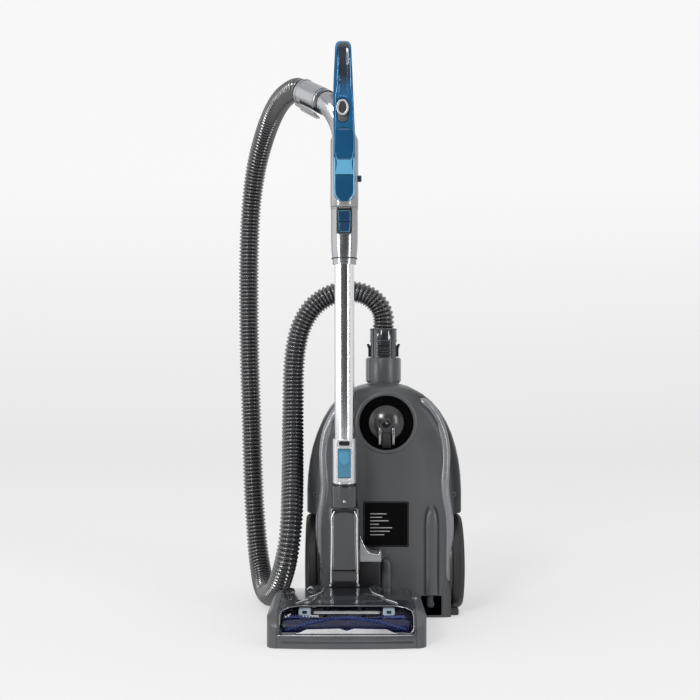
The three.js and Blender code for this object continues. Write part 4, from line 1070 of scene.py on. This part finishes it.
# ---------------------------------------------------------------- canister details

BASE_TREE = surface_of("base_shell")


def on_base(x, z, lift=0.0):
    """A point on or above the canister's underside."""
    return Vector((x, front_y(BASE_TREE, x, z, -100) - lift, z))


def bullet(name, x, z0, z1, half, height, slot="shell"):
    """A long rounded rib with a bullet-shaped top, on the flat underside."""
    bm = bmesh.new()
    rings = []
    steps = 24
    for i in range(steps + 1):
        f = i / steps
        z = z0 + (z1 - z0) * f
        nose = min(1, (1 - f) / 0.22)
        scale = math.sqrt(max(0.002, 1 - (1 - nose) ** 2))
        ring = []
        for j in range(17):
            angle = math.pi * j / 16
            ring.append(Vector((x - half * scale * math.cos(angle),
                                -109.6 - height * scale * math.sin(angle) ** 0.8, z)))
        rings.append(ring)
    link(name, skin(bm, rings), M[slot], "canister", smooth=50)


CASTOR_AXIS = (3, 358)
CASTOR_AXLE = (-109, 329)


def canister_details():
    """The underside's ridges and ribs, its recesses, and the castor."""
    ridge = [(62, 402), (84, 384), (100, 358), (109, 330), (112.5, 300), (111.5, 268), (110.5, 240),
             (113.5, 212), (117, 190), (118.5, 165), (118.5, 120), (118.5, 60)]
    for side, name in ((-1, "left"), (1, "right")):
        points = [on_base(side * x, z, -6.2) for x, z in smooth_pairs(ridge)]
        # painted highlight: the ridge beads take the lighter ridge grey
        band = bead(f"underside_ridge_{name}", points, 9.2, "shell", "canister", sides=24, spacing=4)
        band.data.materials[0] = RIDGE_HIGHLIGHT_GREY
        bullet(f"underside_rib_{name}", side * 86, 43, 206, 12.4, 8.5)
        hole = on_base(side * 126.5, 226)
        ring = turned([(2.6, hole.y - 0.6), (4.6, hole.y - 1.0), (5.6, hole.y + 3), (2.6, hole.y + 3)], "y",
                      hole.x, hole.z, 28, closed=True)
        link(f"screw_ring_{name}", ring, M["dark_shell"], "canister")
        # painted shade: the black cup lining the screw hole darkens it
        sink = turned([(0.1, hole.y + 0.8), (2.7, hole.y + 0.6), (2.7, hole.y + 3)], "y", hole.x, hole.z, 20)
        link(f"screw_sink_{name}", sink, M["black"], "canister")
        foot = rounded(side * 127 - 9.5, side * 127 + 9.5, 3, 16, 3)
        panel(f"rear_foot_{name}", foot, "y", -106, -88, "rubber", "canister", 1.5)
        post = rounded(side * 109 - 2.2, side * 109 + 2.2, 4, 58, 1.5)
        panel(f"recess_post_{name}", post, "y", -111.6, -106, "shell", "canister", 1.0)
    bullet("dock_rib", 2.5, 47, 110, 9.8, 9)
    bullet("dock_rib_left", -57, 47, 110, 8.5, 6)
    for side, name in ((-1, "left"), (1, "right")):
        x0 = 66.6 if side > 0 else -104.4
        # painted shade: the recess walls and floors take the near-black shade colour
        wall = frame_prism(rounded(x0 + 0.2, x0 + 37.8, 4.2, 39.8, 1), rounded(x0 + 1, x0 + 37, 5, 39, 1),
                           "y", -109.6, -89.8)
        link(f"recess_wall_{name}", wall, PAINTED_SHADE_BLACK, "canister")
        floor = rounded(x0 + 0.5, x0 + 37.5, 4.5, 39.5, 1)
        panel(f"recess_floor_{name}", floor, "y", -90.8, -89.8, "black", "canister", 0, material=PAINTED_SHADE_BLACK)
        peg = turned([(0.1, 17.6), (3.6, 18.2), (5.6, 20.4), (6.4, 24), (6.6, 44), (0.1, 45)], "z", x0 + 17.4,
                     -103.5, 32)
        link(f"recess_peg_{name}", peg, M["dark_shell"], "canister")

    axis_x, axis_z = CASTOR_AXIS
    axle_y, axle_z = CASTOR_AXLE
    # painted shade: the inside of the castor cup takes the near-black shade colour
    cup_shade_mesh = turned([(49.9, -110.4), (49.4, -109), (48.9, -80), (46, -77.8), (9, -77.6)], "y", axis_x, axis_z,
                   64)
    link("castor_cup_shade", cup_shade_mesh, PAINTED_SHADE_BLACK, "canister")
    rim = turned([(49.6, -110.0), (50.6, -112.2), (53.6, -112.6), (56.8, -111.2), (58, -109.4), (49.6, -108)],
                 "y", axis_x, axis_z, 64, closed=True)
    link("castor_cup_rim", rim, M["shell"], "canister")
    cap = [(0.1, -123.8)]
    for i in range(1, 13):
        angle = math.radians(52 * i / 12)
        cap.append((46 * math.sin(angle), -77.8 - 46 * math.cos(angle)))
    cap += [(36.6, -104), (36.6, -82), (8, -81.5)]
    dome = link("castor_dome_cover", turned(cap, "y", axis_x, axis_z, 72), DOME_GREY, "castor",
                smooth=50)
    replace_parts(dome, "castor_dome")
    boss = turned([(0.1, -126.4), (2.2, -126.6), (3, -127.4), (4.6, -127.4), (5.2, -126.2), (8.2, -126.6),
                   (9.6, -125.6), (9.8, -116)], "y", axis_x, axis_z + 1, 40)
    link("castor_boss", boss, GLOSS_BLACK, "castor")
    dot = turned([(0.1, -127.4), (1.6, -127.2), (1.9, -126)], "y", axis_x, axis_z + 1, 16)
    link("castor_boss_pin", dot, M["steel"], "castor")
    for side, name in ((-1, "left"), (1, "right")):
        x = axis_x + side * 12.4
        cheek = [(-124.6, 350), (-127, 344), (-127.2, 328), (-122, 318.6), (-108, 316), (-98, 322),
                 (-98, 346)]
        bm = prism(cheek, "x", x - 2.2, x + 2.2)
        link(f"castor_fork_{name}", bm, M["silver"], "castor", bevel=0.8)
    tread = turned([(5, -5.9), (12, -5.9), (12, -7.0), (15.4, -7.9), (17, -6.2), (17.2, 0), (17, 6.2),
                    (15.4, 7.9), (12, 7.0), (12, 5.9), (5, 5.9)], "x", axle_y, axle_z, 48, closed=True)
    tread.transform(Matrix.Translation((axis_x, 0, 0)))
    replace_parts(link("castor_tyre", tread, M["rubber"], "castor_roll"), "castor_wheel")
    for i in range(3):
        groove = turned([(16.9, 0.0), (17.6, 0.3), (17.6, 1.5), (16.9, 1.8)], "x", axle_y, axle_z, 48,
                        closed=True)
        groove.transform(Matrix.Translation((axis_x - 5 + i * 4.2, 0, 0)))
        link(f"castor_tread_{i}", groove, M["black"], "castor_roll")


def smooth_pairs(points, spacing=5):
    """Evenly spaced (x, z) points along a smooth line."""
    line, _ = smooth_line([(x, 0, z) for x, z in points], spacing)
    return [(p.x, p.z) for p in line]


PLATE_INK = material("plate_ink", (0.3, 0.3, 0.31), 0.5, mottle=0.2)


def plate_details():
    """The rating plate: a black film with a border and plain rules, without any words or marks."""
    outer = rounded(-38.2, 42.7, 131.5, 211.8, 3)
    inner = rounded(-37.6, 42.1, 132.1, 211.2, 2.6)
    link("plate_border", frame_prism(outer, inner, "y", -111.35, -111.05), M["dark_shell"], "canister")
    for i, length in enumerate((30, 22, 34, 16, 40, 36, 26)):
        z = 190 - i * 6.4
        rule = [(-27, z), (-27 + length, z), (-27 + length, z + 1.7), (-27, z + 1.7)]
        panel(f"plate_rule_{i}", rule, "y", -111.3, -111.0, "bright_silver", "canister", 0,
              material=PLATE_INK)


def wheel_details():
    """The rubber tyre, the dished disc with its spokes, and the hub cap of each rear wheel."""
    for side, name in ((-1, "left"), (1, "right")):
        body = "wheel_l" if side < 0 else "wheel_r"
        def ring(label, profile, slot, segments=96, material=None):
            bm = turned([(r, side * h) for r, h in profile], "x", -35, 92, segments, closed=True)
            return link(f"{label}_{name}", bm, material or M[slot], body, smooth=35)
        tyre = ring("tyre", [(74, 127.4), (82, 125.6), (86, 125.8), (88.4, 128), (89, 132), (88.6, 138),
                             (86.6, 143), (83, 146.4), (77, 146), (74, 143)], "rubber")
        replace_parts(tyre, "wheel_" + name)
        for i in range(3):
            x = 129.6 + i * 3.6
            ring(f"tread_{i}", [(88.2, x), (89.2, x + 0.4), (89.2, x + 1.6), (88.2, x + 2)], "black")
        ring("wheel_disc", [(8.4, 125.6), (12, 125.6), (14, 132), (28, 132), (30, 130), (74.4, 130),
                            (74.4, 141),
                            (46, 141.4), (44, 144.2), (38, 145.6), (10, 145.8), (8.4, 143)], "dark_shell")
        ring("wheel_trim", [(70, 140.6), (74.6, 140.8), (76.6, 145.2), (74.6, 145.8), (71, 143.4)], "silver")
        ring("hub_ring", [(40, 144.8), (43.4, 144.8), (43.4, 146), (41, 146.8), (38.6, 146.4)], "silver")
        cap = turned([(0.1, side * 147.4), (16, side * 147.2), (24, side * 146.6), (27, side * 145.2)], "x",
                     -35, 92, 64)
        link(f"hub_cap_{name}", cap, M["dark_shell"], body, smooth=35)
        lip = turned([(r, side * h) for r, h in ((68, 120), (80, 120), (81, 122), (81, 124.4), (80, 124.9),
                                                 (68, 124.9))],
                     "x", -35, 92, 72, closed=True)
        link(f"wheel_guard_{name}", lip, M["dark_shell"], "canister", smooth=35)
        for i in range(8):
            angle = math.radians(45 * i + 10)
            bm = bmesh.new()
            rings = []
            for radius, half in ((45, 5.5), (58, 4.4), (71, 4.0)):
                line = []
                for a, h in ((-half, 141), (-half * 0.7, 144), (half * 0.7, 144), (half, 141)):
                    along_y = radius * math.cos(angle) - a * math.sin(angle)
                    along_z = radius * math.sin(angle) + a * math.cos(angle)
                    line.append(Vector((side * h, -35 + along_y, 92 + along_z)))
                rings.append(line)
            link(f"spoke_{name}_{i}", skin(bm, rings), M["dark_shell"], body, smooth=30)


def inlet_details():
    """The front half-sleeve of the hose inlet, the cuff's beads and the three grip bars on the cuff."""
    sleeve = []
    bm = bmesh.new()
    for z in (420.5, 423, 476.5, 477.6):
        ring = []
        for i in range(13):
            angle = math.radians(-90 - 46 + 92 * i / 12)
            ring.append((math.cos(angle), math.sin(angle)))
        grow = 34.9 if 421 < z < 477 else 34.3
        outer = [Vector((grow * c, -20 + grow * s, z)) for c, s in ring]
        inner = [Vector((32.5 * c, -20 + 32.5 * s, z)) for c, s in reversed(ring)]
        sleeve.append(outer + inner)
    link("inlet_sleeve", skin(bm, sleeve), M["shell"], "canister", smooth=40, bevel=0.5)
    for z, r in ((531.6, 26.5), (510, 26.5)):
        bm = turned([(r - 1, z - 1), (r, z - 0.5), (r, z + 0.5), (r - 1, z + 1)], "z", 0, -20, 48,
                    closed=True)
        link(f"cuff_bead_{int(z)}", bm, M["shell"], "inlet")
    for i in range(3):
        z = 483 + i * 5.4
        bar = rounded(-13, 13, z, z + 2, 0.8, 2)
        panel(f"cuff_grip_{i}", bar, "y", -44.4, -43.0, "dark_shell", "inlet", 0.3)


canister_details()
plate_details()
wheel_details()
inlet_details()
